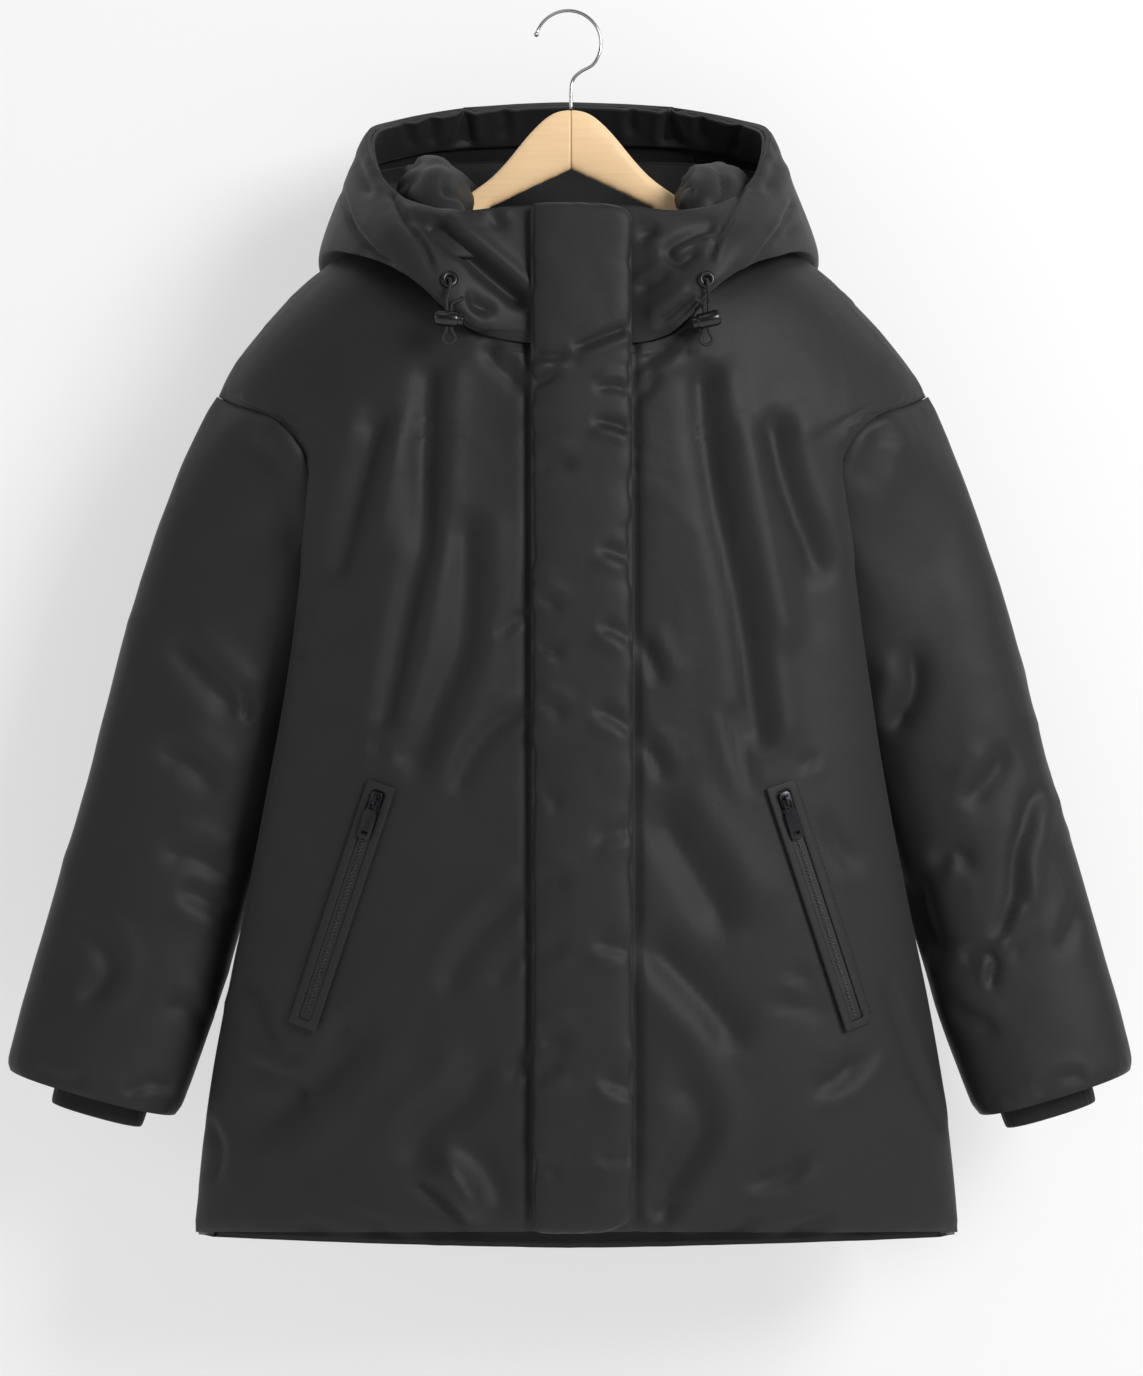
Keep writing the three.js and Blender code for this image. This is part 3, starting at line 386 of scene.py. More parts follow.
FRONT_FOLDS = table(["wide", "high", "lee", "places"], [
    [11, -3.4, 1, [(430, 350), (423, 455), (423, 537), (410, 590), (394, 669), (378, 740)]],
    [12, -2.8, -1, [(384, 396), (364, 465), (348, 524), (331, 590)]],
    [13, -2.8, 1, [(463, 500), (466, 590), (459, 652), (430, 718), (408, 790)]],
    [15, 2.0, 1, [(407, 396), (390, 478), (377, 560)]],
    [7, -2.6, 1, [(480, 338), (498, 366), (528, 396)]],
    [6, -1.8, -1, [(505, 350), (516, 372), (530, 380)]],
    [5, -1.6, 1, [(531, 610), (512, 622), (492, 640)]],
    [8, -2.4, -1, [(531, 708), (498, 724), (468, 760), (452, 800)]],
    [5, -1.4, 1, [(300, 598), (307, 607), (313, 624)]],
    [5, -1.4, 1, [(290, 648), (301, 654), (303, 668)]],
    [5, -1.8, 1, [(376, 772), (378, 750), (372, 730)]],
    [5, -1.6, -1, [(392, 776), (400, 762), (412, 745)]],
    [4, -1.4, 1, [(364, 776), (352, 768), (344, 752)]],
    [9, -2.4, -1, [(531, 894), (497, 914), (462, 956), (440, 1000)]],
    [6, -1.6, 1, [(531, 948), (512, 962), (490, 988)]],
    [5, -2.4, 1, [(350, 1014), (338, 1034), (316, 1050), (278, 1060)]],
    [8, -2.2, -1, [(228, 974), (252, 1000), (264, 1030), (288, 1054)]],
    [4, -1.4, 1, [(286, 972), (289, 1000), (281, 1028)]],
    [6, -2.2, 1, [(244, 1066), (262, 1072), (294, 1088), (301, 1112)]],
    [17, -2.8, 1, [(372, 1010), (330, 1066), (280, 1110), (236, 1146)]],
    [6, -2.8, -1, [(502, 1082), (518, 1068), (532, 1050)]],
    [14, -3.0, -1, [(488, 1040), (466, 1096), (425, 1131), (405, 1180)]],
    [5, -3.2, 1, [(408, 1176), (430, 1193), (452, 1211), (470, 1232)]],
    [12, 5.5, 1, [(430, 1150), (458, 1180), (484, 1226)]],
    [5, -2.0, 1, [(356, 1208), (374, 1224), (390, 1228)]],
    [4, -1.4, -1, [(300, 1222), (322, 1230), (340, 1230)]],
    [5, -1.6, 1, [(206, 1118), (220, 1148), (212, 1184)]],
    [12, -3.6, 1, [(700, 352), (706, 430), (716, 500), (730, 560), (745, 636), (754, 701), (764, 762)]],
    [12, -2.6, 1, [(768, 400), (784, 478), (808, 537), (830, 590)]],
    [14, 2.0, 1, [(742, 400), (758, 480), (776, 580), (790, 660)]],
    [7, -2.0, -1, [(728, 700), (744, 761), (760, 800)]],
    [7, -2.4, 1, [(636, 630), (648, 652), (664, 690)]],
    [7, -2.4, 1, [(636, 738), (652, 752), (668, 784)]],
    [8, -2.6, -1, [(634, 372), (652, 356), (682, 338)]],
    [5, -1.6, 1, [(633, 404), (646, 390), (660, 370)]],
    [17, -3.0, 1, [(645, 790), (698, 876), (740, 946)]],
    [14, -3.4, -1, [(634, 932), (670, 963), (719, 1016), (744, 1060)]],
    [6, -1.8, 1, [(766, 1004), (800, 1004), (830, 1022)]],
    [5, -1.6, -1, [(792, 964), (810, 990), (832, 1012)]],
    [8, -2.8, 1, [(874, 1036), (848, 1072), (808, 1094)]],
    [5, -1.8, -1, [(852, 1040), (850, 1056), (838, 1072)]],
    [5, -1.8, 1, [(776, 780), (766, 768), (752, 760)]],
    [5, -1.8, -1, [(796, 778), (806, 764), (820, 752)]],
    [12, -2.8, 1, [(668, 1064), (702, 1122), (668, 1186), (648, 1226)]],
    [8, -2.6, -1, [(742, 1184), (784, 1176), (808, 1150)]],
    [5, -2.2, 1, [(784, 1230), (806, 1226), (834, 1216)]],
    [5, -2.0, -1, [(730, 1232), (744, 1226), (760, 1214)]],
    [6, -3.4, 1, [(650, 1216), (664, 1214), (680, 1196)]],
    [5, -1.8, 1, [(884, 980), (908, 1047), (944, 1134)]],
    [9, -1.8, -1, [(812, 812), (840, 850), (868, 872)]],
])

FLAP_FOLDS = table(["wide", "high", "lee", "places"], [
    [5, -2.6, 1, [(634, 326), (608, 334), (570, 350)]],
    [5, -2.2, -1, [(526, 348), (548, 356), (572, 352)]],
    [5, -2.4, 1, [(524, 384), (542, 380), (562, 366)]],
    [5, -2.0, -1, [(636, 392), (614, 386), (592, 388)]],
    [5, -2.4, 1, [(636, 432), (616, 424), (590, 418)]],
    [7, -1.6, 1, [(528, 470), (552, 462), (580, 466)]],
    [6, -2.0, 1, [(528, 598), (546, 600), (566, 610)]],
    [5, -2.2, -1, [(530, 646), (548, 648), (566, 656)]],
    [6, -2.2, 1, [(638, 562), (616, 552), (594, 546)]],
    [6, -2.4, 1, [(638, 644), (616, 630), (594, 622)]],
    [6, -2.2, 1, [(638, 734), (616, 718), (590, 706)]],
    [6, -2.0, 1, [(530, 704), (550, 706), (570, 716)]],
    [6, -2.4, -1, [(530, 790), (546, 794), (566, 806)]],
    [6, -2.4, 1, [(638, 828), (616, 832), (588, 840)]],
    [6, -2.0, 1, [(530, 882), (552, 880), (574, 884)]],
    [6, -2.6, 1, [(638, 954), (614, 946), (588, 940)]],
    [6, -2.2, -1, [(530, 952), (550, 950), (572, 944)]],
    [7, -2.6, 1, [(530, 1042), (552, 1038), (576, 1044)]],
    [6, -3.0, -1, [(528, 1080), (546, 1072), (568, 1064)]],
    [6, -3.0, 1, [(640, 1082), (626, 1088), (596, 1074)]],
    [6, -2.0, 1, [(638, 1150), (616, 1158), (590, 1156)]],
    [6, -1.8, 1, [(528, 1160), (548, 1166), (566, 1178)]],
])

SLEEVE_FOLDS = table(["wide", "high", "lee", "places"], [
    [14, -3.0, 1, [(232, 424), (262, 479), (296, 560)]],
    [10, -2.2, -1, [(258, 434), (276, 470), (306, 500)]],
    [12, -2.8, 1, [(160, 634), (212, 688), (250, 722)]],
    [4, -2.0, -1, [(240, 680), (248, 700), (246, 724)]],
    [11, -2.6, 1, [(148, 744), (186, 762), (226, 796)]],
    [10, -2.2, 1, [(152, 848), (196, 858), (236, 880)]],
    [9, -2.4, -1, [(172, 884), (206, 900), (238, 918)]],
    [10, -2.4, 1, [(62, 912), (102, 950), (104, 980), (72, 1004)]],
    [8, -1.8, 1, [(160, 998), (188, 1010), (216, 1034)]],
    [5, -1.6, 1, [(30, 1066), (60, 1080), (90, 1078)]],
    [5, -1.8, -1, [(120, 1096), (150, 1084), (178, 1090)]],
    [9, -2.2, 1, [(892, 414), (876, 450), (862, 496)]],
    [12, -3.6, -1, [(906, 636), (914, 688), (884, 744)]],
    [10, -2.6, 1, [(958, 808), (996, 772), (1004, 738)]],
    [8, -2.4, -1, [(926, 868), (954, 852), (978, 872)]],
    [8, -2.8, 1, [(1042, 778), (1018, 847), (1012, 902), (998, 948)]],
    [4, -3.2, 1, [(958, 960), (976, 952), (998, 955)]],
    [4, -3.2, -1, [(998, 953), (994, 968), (988, 990)]],
    [6, 2.6, 1, [(1024, 896), (1010, 930), (996, 958)]],
    [8, -1.8, 1, [(1054, 958), (1070, 932), (1080, 900)]],
    [14, -3.2, -1, [(912, 862), (920, 920), (944, 972)]],
    [8, -2.0, 1, [(942, 1008), (970, 1018), (1004, 1036)]],
    [5, -1.8, 1, [(1030, 1096), (1060, 1078), (1090, 1074)]],
])

HOOD_FOLDS = table(["wide", "high", "lee", "places"], [
    [2.2, -2.6, 1, [(340, 184), (348, 212), (360, 236), (400, 280)]],
    [2.2, -2.6, 1, [(390, 190), (406, 222), (424, 246), (442, 292)]],
    [7, -6.0, 1, [(426, 216), (446, 236), (478, 262), (532, 310)]],
    [6, -3.4, -1, [(456, 286), (476, 304), (500, 314)]],
    [5, -2.4, 1, [(490, 208), (498, 222), (510, 228)]],
    [6, -2.2, -1, [(352, 252), (372, 262), (402, 268)]],
    [6, -2.0, 1, [(396, 214), (420, 222), (440, 240)]],
    [2.2, -2.6, 1, [(745, 184), (730, 216), (716, 242), (704, 284)]],
    [2.2, -2.6, -1, [(794, 200), (778, 230), (760, 256), (742, 276)]],
    [4.5, -2.8, 1, [(720, 226), (690, 236), (668, 250), (680, 262), (700, 246)]],
    [6, -3.0, -1, [(706, 292), (684, 306), (652, 330)]],
    [5, -2.4, -1, [(636, 240), (646, 234), (662, 226)]],
    [5, -2.0, 1, [(634, 292), (650, 284), (672, 270)]],
    [6, -2.0, 1, [(766, 246), (786, 236), (800, 220)]],
    [5, -2.0, 1, [(352, 150), (362, 176), (372, 200)]],
    [5, -2.0, 1, [(782, 150), (772, 176), (764, 196)]],
])


FACING_FOLDS = table(["wide", "high", "lee", "places"], [
    [4, -3.0, 1, [(464, 98), (466, 120), (470, 150)]],
    [4, -3.0, -1, [(669, 98), (667, 122), (664, 150)]],
    [4, -2.0, 1, [(452, 150), (460, 138), (466, 120)]],
    [4, -2.0, -1, [(682, 150), (674, 138), (668, 120)]],
    [4, -1.6, 1, [(400, 112), (408, 130), (412, 150)]],
    [4, -1.6, 1, [(428, 106), (434, 128), (430, 148)]],
    [4, -1.6, 1, [(500, 100), (506, 122), (502, 142)]],
    [4, -1.6, -1, [(636, 100), (630, 120), (634, 140)]],
    [4, -1.6, -1, [(706, 106), (700, 126), (706, 148)]],
    [4, -1.6, -1, [(744, 118), (734, 138), (736, 158)]],
])


def folded(cloth, folds, both_sides=True, inside=False):
    """The lift that the folds give, on the front and mirrored on the back, or on the inside that shows."""
    points, facing = cloth["points"], -cloth["out"][:, 1]
    if inside:
        facing = -facing
    seen = on_view_plane(points)
    mirrored = seen.copy()
    mirrored[:, 0] = 2 * BODY_CENTRE[0] - mirrored[:, 0]
    front, back = smooth(-0.05, 0.3, facing), smooth(0.05, 0.4, -facing)
    lift = np.zeros(len(points))
    for fold in folds:
        args = fold["places"], fold["wide"], fold["high"], fold["lee"]
        lift += front * fold_lift(seen, *args)
        if both_sides:
            lift += back * fold_lift(mirrored, *args)
    return -lift if inside else lift


# %% [markdown]
# ## Calm places
# Where hardware and the pocket frames are sewn on, the cloth keeps its plain shape.

# %% Calm places
POCKET_HALF = 17.0
CALM_LINES = table(["places", "radius"], [
    [[(382, 782), (302, 1033)], POCKET_HALF],
    [[(780, 782), (860, 1033)], POCKET_HALF],
    [[(449, 276), (452, 338)], 13.0],
    [[(707, 276), (708, 338)], 13.0],
])


def calm(cloth):
    """0 at the middle of a calm place on the front, 1 outside it."""
    seen = on_view_plane(cloth["points"])
    share = np.ones(len(seen))
    for row in CALM_LINES:
        a, b = from_picture(row["places"])
        t = np.clip((seen - a) @ (b - a) / ((b - a) @ (b - a)), 0, 1)
        away = np.linalg.norm(seen - a - t[:, None] * (b - a), axis=1)
        share = np.minimum(share, smooth(row["radius"] * 0.75, row["radius"] * 1.6, away))
    front = smooth(-0.05, 0.3, -cloth["out"][:, 1])
    return 1 - front * (1 - share)


# %% [markdown]
# ## Seams
# At a seam the padding is pressed flat, and the cloth beside it draws up in short puckers.

# %% Seams
def seam_lift(cloth, dip=2.0, pucker=1.7, spacing=13.0, reach=11.0, seed=3):
    distance, nearest = seam_distance(cloth)
    flat = -dip * np.exp(-((distance / 5.5) ** 2)) - 0.5 * dip * np.exp(-distance / 14)
    waves = noise(nearest, spacing, seed) + 0.6 * noise(nearest, spacing * 0.55, seed + 1)
    strength = 0.4 + 0.6 * np.clip(noise(nearest, 90, seed + 2) + 0.4, 0, 1)
    drawn = pucker * strength * waves * np.exp(-distance / reach) * smooth(0, 4, distance)
    return flat + drawn


def soft_unevenness(points, along, high, seed):
    """Broad softness and faint wrinkles; along is the stretch of each axis."""
    broad = noise(points, np.array(along) * 60, seed)
    middling = noise(points, np.array(along) * 26, seed + 11)
    wrinkles = creases(points, np.array(along) * 34, seed + 23)
    where = smooth(-0.1, 0.7, noise(points, 110, seed + 31))
    return high * (1.3 * broad + 0.45 * middling + 0.9 * wrinkles * where)


FLAP_HALF_WIDTH = 38.5


def flap_centre(z):
    return 9.5 + 2.0 * z / -974.0


def flap_puckers(points):
    """Short wrinkles that run away from the flap's two seams."""
    off = points[:, 0] - flap_centre(points[:, 2])
    away = np.abs(off) - FLAP_HALF_WIDTH
    place = np.stack([np.sign(off) * 400, 0 * off, points[:, 2] + 0.35 * away], axis=1)
    waves = noise(place, 15, 71) + 0.5 * noise(place, 8, 72)
    strength = smooth(-0.2, 0.6, noise(place, 70, 73))
    front = points[:, 1] < -40
    return 1.7 * front * strength * waves * np.exp(-np.clip(away, 0, 999) / 15)


def flap_groove(cloth):
    """How far a front sinks beside the storm flap, where the zip seam holds it down."""
    points = cloth["points"]
    beyond = np.abs(points[:, 0] - flap_centre(points[:, 2])) - FLAP_HALF_WIDTH - 1.0
    return 3.2 * np.exp(-((beyond / 4.0) ** 2)) * smooth(0.2, 0.6, -cloth["out"][:, 1])


def finish_cloth(name, cloth, lift, material, replaces):
    mesh = cloth["mesh"]
    moved = cloth["points"] + cloth["out"] * lift[:, None]
    mesh.vertices.foreach_set("co", (moved * MM).ravel())
    mesh.shade_smooth()
    mesh.update()
    for attribute_name in ("out", "rim"):
        mesh.attributes.remove(mesh.attributes[attribute_name])
    mesh.materials.clear()
    mesh.materials.append(material)
    piece = bpy.data.objects.new(name, mesh)
    bpy.context.collection.objects.link(piece)
    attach(piece, "parka")
    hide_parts(replaces)
    area = sum(face.area for face in mesh.polygons) / 2
    print(name, "one side", round(area, 4), "square metres", len(mesh.polygons) * 2, "triangles")
    return piece


# %% [markdown]
# ## Finishes
# Colours are the sRGB values of each real finish, and pattern sizes are real millimetres in the
# object's own coordinates.

# %% Material helpers
def colour(text):
    channels = [int(text[i:i + 2], 16) / 255 for i in (1, 3, 5)]
    linear = [c / 12.92 if c <= 0.04045 else ((c + 0.055) / 1.055) ** 2.4 for c in channels]
    return (*linear, 1.0)


def add_node(tree, kind, inputs=(), **settings):
    """A node with its settings and inputs; an input is a value or another node's output."""
    node = tree.nodes.new(kind)
    for name, value in settings.items():
        setattr(node, name, value)
    for name, value in dict(inputs).items():
        socket = node.inputs[name]
        if isinstance(value, bpy.types.NodeSocket):
            tree.links.new(value, socket)
        else:
            socket.default_value = value
    return node


def new_material(name, base, rough, metal=0.0):
    material = bpy.data.materials.new(name)
    material.use_nodes = True
    tree = material.node_tree
    shader = next(n for n in tree.nodes if n.type == "BSDF_PRINCIPLED")
    shader.inputs["Base Color"].default_value = colour(base)
    shader.inputs["Roughness"].default_value = rough
    shader.inputs["Metallic"].default_value = metal
    return material, tree, shader


def object_noise(tree, size, detail=2.0, stretch=(1, 1, 1), turn=0.0):
    """Noise whose grains are that many millimetres across."""
    place = add_node(tree, "ShaderNodeTexCoord").outputs["Object"]
    scale = [1 / (size * MM * s) for s in stretch]
    mapping = add_node(tree, "ShaderNodeMapping", {"Vector": place, "Scale": scale, "Rotation": (0, turn, 0)})
    mapping.vector_type = "POINT"
    grain = add_node(tree, "ShaderNodeTexNoise", {
        "Vector": mapping.outputs["Vector"], "Scale": 1.0, "Detail": detail, "Roughness": 0.55})
    return grain.outputs["Fac"]


def fine_creases(tree, size, stretch=(1, 1, 1)):
    """Thin ridges, as fine wrinkles lie in a light nylon."""
    place = add_node(tree, "ShaderNodeTexCoord").outputs["Object"]
    scale = [1 / (size * MM * s) for s in stretch]
    mapping = add_node(tree, "ShaderNodeMapping", {"Vector": place, "Scale": scale})
    ridges = add_node(tree, "ShaderNodeTexNoise", {
        "Vector": mapping.outputs["Vector"], "Scale": 1.0, "Detail": 2.0, "Distortion": 0.6},
        noise_type="RIDGED_MULTIFRACTAL", normalize=True)
    return ridges.outputs["Fac"]


def bump(tree, height, depth, under=None):
    inputs = {"Height": height, "Distance": depth * MM, "Strength": 1.0}
    if under is not None:
        inputs["Normal"] = under
    return add_node(tree, "ShaderNodeBump", inputs).outputs["Normal"]


def varied(tree, factor, low, high):
    """A colour between two, chosen by a factor."""
    blend = add_node(tree, "ShaderNodeMix", {"Factor": factor}, data_type="RGBA")
    blend.inputs[6].default_value = colour(low)
    blend.inputs[7].default_value = colour(high)
    return blend.outputs[2]


# %% Cloth finishes
def cloth_material(name, low, high, rough, sheen, weave=0.05, crinkle=0.9):
    material, tree, shader = new_material(name, high, rough)
    tone = varied(tree, object_noise(tree, 45, 3), low, high)
    tree.links.new(tone, shader.inputs["Base Color"])
    shader.inputs["Sheen Weight"].default_value = sheen
    shader.inputs["Specular IOR Level"].default_value = 0.34
    shader.inputs["Sheen Roughness"].default_value = 0.45
    ridges = bump(tree, fine_creases(tree, 48, (1, 1, 1.5)), crinkle)
    crinkles = bump(tree, object_noise(tree, 11, 3), 0.35 * crinkle, ridges)
    threads = bump(tree, object_noise(tree, 0.7, 1), weave, crinkles)
    tree.links.new(threads, shader.inputs["Normal"])
    return material


shell_cloth = cloth_material("shell_cloth", "#19191a", "#202021", 0.6, 0.06)
lining_cloth = cloth_material("lining_cloth", "#161617", "#1c1c1d", 0.6, 0.04)


# %% [markdown]
# ## Fronts, back and sleeves
# Large padded panels: soft vertical drapes below the neck, short wrinkles from the flap's seam, fans at
# the corners of the pockets, and a few sharp pinches at the elbows and the hem.

# %% Panels
PANELS = table(["name", "centre", "levels", "folds", "stretch", "high", "flat", "cut"], [
    ["front_left", coat_middle, 3, FRONT_FOLDS, (1, 1, 2.6), 0.9, (0.40, 0.86), 0.26],
    ["front_right", coat_middle, 3, FRONT_FOLDS, (1, 1, 2.6), 0.9, (0.40, 0.86), 0.26],
    ["back", coat_middle, 3, FRONT_FOLDS, (1, 1, 2.6), 1.0, (0.66, 0.88), 0.5],
    ["sleeve_left", None, 3, SLEEVE_FOLDS, (1.2, 1.2, 1.2), 1.2, (0.50, 0.58), 0.24],
    ["sleeve_right", None, 3, SLEEVE_FOLDS, (1.2, 1.2, 1.2), 1.2, (0.50, 0.58), 0.24],
])
SHELL_WALL = 6.0
LINING_WALL = 3.0

for number, row in enumerate(PANELS):
    cloth = wall(row["name"], SHELL_WALL, row["levels"], row["centre"])
    lift = folded(cloth, row["folds"])
    lift += seam_lift(cloth)
    lift += soft_unevenness(cloth["points"], row["stretch"], row["high"], 40)
    lift += flap_puckers(cloth["points"]) - flap_groove(cloth)
    lift *= calm(cloth)
    piece = finish_cloth(row["name"] + "_padded", cloth, lift, shell_cloth, row["name"])

# %% [markdown]
# ## Hood
# The outside is shell cloth with two curved seams each side. Inside, a band of facing runs round the
# face edge, and the lining goes down from it to the neck.

# %% Hood pieces
HOOD_PIECES = table(["name", "thick", "levels", "folds", "slot", "dip", "flat", "cut"], [
    ["hood_side_left", SHELL_WALL, 3, HOOD_FOLDS, "shell", 1.2, (0.42, 0.30), 0.075],
    ["hood_side_right", SHELL_WALL, 3, HOOD_FOLDS, "shell", 1.2, (0.42, 0.30), 0.075],
    ["hood_centre", SHELL_WALL, 3, [], "shell", 0.5, (0.32, 0.38), 0.11],
    ["hood_facing", LINING_WALL, 3, FACING_FOLDS, "lining", 0.6, (0.90, 0.04), 0.034],
    ["hood_lining", LINING_WALL, 3, [], "lining", 0.8, (0.84, 0.10), 0.06],
])

for row in HOOD_PIECES:
    within = row["slot"] == "lining"
    cloth = wall(row["name"], row["thick"], row["levels"], hood_middle)
    lift = folded(cloth, row["folds"], both_sides=False, inside=within)
    lift += seam_lift(cloth, dip=row["dip"], pucker=0.8 if within else 1.5, spacing=12)
    lift += soft_unevenness(cloth["points"], (1.2, 1.2, 1.2), 0.8, 60)
    lift *= calm(cloth)
    material = lining_cloth if row["name"] == "hood_lining" else shell_cloth
    piece = finish_cloth(row["name"] + "_cloth", cloth, lift, material, row["name"])

# %% [markdown]
# ## Padded rolls inside the neck
# The lining is padded beside the hanger, where it bunches into two soft rolls that run from the front
# of the neck round to the back.

# %% Rolls
ROLL_PATH = table(["out", "y", "z", "radius"], [
    [88, -74, -180, 12], [102, -50, -160, 24], [109, -16, -146, 31], [107, 20, -145, 31], [92, 42, -146, 24],
    [66, 56, -154, 12],
])
ROLL_CENTRE = 5.0


def roll_mesh(name, side):
    path = np.array([[ROLL_CENTRE + side * r["out"], r["y"], r["z"]] for r in ROLL_PATH])
    line = curve_through(path, 14)
    radii = curve_through(np.array([[r["radius"]] for r in ROLL_PATH]), 14)[:, 0]
    ends = np.minimum(np.arange(len(line)), np.arange(len(line))[::-1])
    radii = radii * np.sqrt(np.clip(ends / 8, 0.03, 1))
    verts, faces = round_tube(line, 1.0, 40)
    rings = verts.reshape(len(line), 40, 3)
    outward = rings - line[:, None]
    points = line[:, None] + outward * radii[:, None, None]
    flat = points.reshape(-1, 3)
    ways = outward.reshape(-1, 3)
    lift = 3.4 * noise(flat, 30, 82) - 5.0 * creases(flat, (26, 34, 22), 81)
    lift *= smooth(0, 8, np.repeat(ends, 40))
    mesh = bpy.data.meshes.new(name)
    mesh.from_pydata(((flat + ways * lift[:, None]) * MM).tolist(), [], faces)
    bm = bmesh.new()
    bm.from_mesh(mesh)
    bmesh.ops.recalc_face_normals(bm, faces=bm.faces)
    bm.to_mesh(mesh)
    bm.free()
    mesh.shade_smooth()
    return mesh


# %% [markdown]
# ## Storm flap
# A padded strip over the zip. Its two long edges are drawn in by the seam, so they pucker unevenly,
# while the middle stays soft and nearly flat.

# %% Flap


def divided_copy(name, levels, crease_angle=None, crease=1.0, bevel=0.0):
    """A CAD node's shape, welded, with soft edges, as a mesh."""
    bm = bmesh.new()
    bm.from_mesh(nodes[name].data)
    bmesh.ops.remove_doubles(bm, verts=bm.verts, dist=WELD)
    bmesh.ops.join_triangles(
        bm, faces=bm.faces, angle_face_threshold=math.radians(30), angle_shape_threshold=math.radians(60))
    if bevel:
        sharp_edges = [e for e in bm.edges if len(e.link_faces) == 2 and e.calc_face_angle(0) > crease_angle]
        bmesh.ops.bevel(bm, geom=sharp_edges, offset=bevel * MM, segments=3, profile=0.5, affect="EDGES",
                        clamp_overlap=True)
    elif crease_angle is not None:
        layer = bm.edges.layers.float.new("crease_edge")
        for edge in bm.edges:
            if len(edge.link_faces) == 2 and edge.calc_face_angle(0) > crease_angle:
                edge[layer] = crease
    return divided(bm, name + "_fine", levels)


def as_points(mesh):
    points = np.zeros(len(mesh.vertices) * 3)
    mesh.vertices.foreach_get("co", points)
    return points.reshape(-1, 3) / MM


def as_normals(mesh):
    normals = np.zeros(len(mesh.vertices) * 3)
    mesh.vertex_normals.foreach_get("vector", normals)
    return normals.reshape(-1, 3)


def set_points(mesh, points):
    mesh.vertices.foreach_set("co", (points * MM).ravel())
    mesh.update()


def show(name, mesh, material, replaces=(), body="parka"):
    mesh.materials.clear()
    mesh.materials.append(material)
    piece = bpy.data.objects.new(name, mesh)
    bpy.context.collection.objects.link(piece)
    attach(piece, body)
    if replaces:
        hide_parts(*replaces)
    return piece


flap_mesh = divided_copy("storm_flap", 3)
flap_points, flap_normals = as_points(flap_mesh), as_normals(flap_mesh)
from_centre = np.abs(flap_points[:, 0] - flap_centre(flap_points[:, 2]))
flap_front = smooth(0.05, 0.5, -flap_normals[:, 1])
flap_edge = np.exp(-np.clip(FLAP_HALF_WIDTH - from_centre, 0, 99) / 9)
flap_lift = np.zeros(len(flap_points))
flap_seen = on_view_plane(flap_points)
for fold in FLAP_FOLDS:
    flap_lift += fold_lift(flap_seen, fold["places"], fold["wide"], fold["high"], fold["lee"])
side_of_flap = np.sign(flap_points[:, 0] - flap_centre(flap_points[:, 2]))
edge_place = np.stack([side_of_flap * 500, 0 * from_centre, flap_points[:, 2]], axis=1)
flap_lift += 2.0 * flap_edge * (noise(edge_place, 17, 5) + 0.5 * noise(edge_place, 8, 6)) - 1.6 * flap_edge ** 2
flap_lift += 1.2 * noise(flap_points, (60, 60, 70), 9) + 0.5 * noise(flap_points, (24, 24, 22), 10)
flap_points = flap_points + flap_normals * (flap_lift * flap_front)[:, None]
set_points(flap_mesh, flap_points)
flap_mesh.shade_smooth()
flap = show("storm_flap_padded", flap_mesh, shell_cloth, ["storm_flap"])

# %% [markdown]
# ## Knit cuffs
# The ribs of the storm cuffs are in the wall already. They are rounded here, and the knit's own
# loops are in the material.

# %% Cuffs
def ribbed_knit():
    material, tree, shader = new_material("black_knit", "#0c0c0d", 0.85)
    shader.inputs["Sheen Weight"].default_value = 0.08
    loops = object_noise(tree, 1.1, 1, (1, 1, 1.6))
    tree.links.new(bump(tree, loops, 0.25), shader.inputs["Normal"])
    return material


knit = ribbed_knit()
for name in ("rib_cuff_left", "rib_cuff_right"):
    cuff_mesh = divided_copy(name, 2, math.radians(100))
    cuff_mesh.shade_smooth()
    cuff = show(name + "_knit", cuff_mesh, knit, [name])

# %% [markdown]
# ## Slanted zip pockets
# Each welt is a narrow frame of shell cloth round a coil zip. The coil's teeth are one small shape,
# repeated along the tape, and a row of stitches holds each long edge of the frame down.

# %% Pocket finishes
tape_cloth = cloth_material("zip_tape", "#1d1d1f", "#262628", 0.5, 0.05, 0.1, 0.1)
coil, _, coil_shader = new_material("zip_coil", "#2a2a2c", 0.35)
thread, _, _ = new_material("black_thread", "#1a1a1b", 0.6)


def gunmetal():
    material, tree, shader = new_material("dark_metal", "#38383b", 0.32, 1.0)
    worn = object_noise(tree, 6, 3)
    tree.links.new(bump(tree, worn, 0.03), shader.inputs["Normal"])
    return material


dark_metal = gunmetal()


def zip_line(name):
    """The tape's outer middle line from its top to its bottom, with the way across."""
    corners = np.unique(np.round(as_points(nodes[name].data), 3), axis=0)
    corners = corners[np.argsort(-corners[:, 2])]
    rings = []
    long = corners[-1] - corners[0]
    long /= np.linalg.norm(long)
    order = np.argsort(corners @ long)
    for group in corners[order].reshape(-1, 4, 3):
        front = group[np.argsort(group[:, 1])]
        across = group[np.argmax(group[:, 0])] - group[np.argmin(group[:, 0])]
        pair = min(((front[0], q) for q in front[1:]), key=lambda ab: abs(np.linalg.norm(ab[0] - ab[1]) - 9.0))
        middle = (pair[0] + pair[1]) / 2
        way = pair[1] - pair[0] if pair[1][0] > pair[0][0] else pair[0] - pair[1]
        rings.append((middle, way / np.linalg.norm(way)))
    return np.array([r[0] for r in rings]), np.array([r[1] for r in rings])


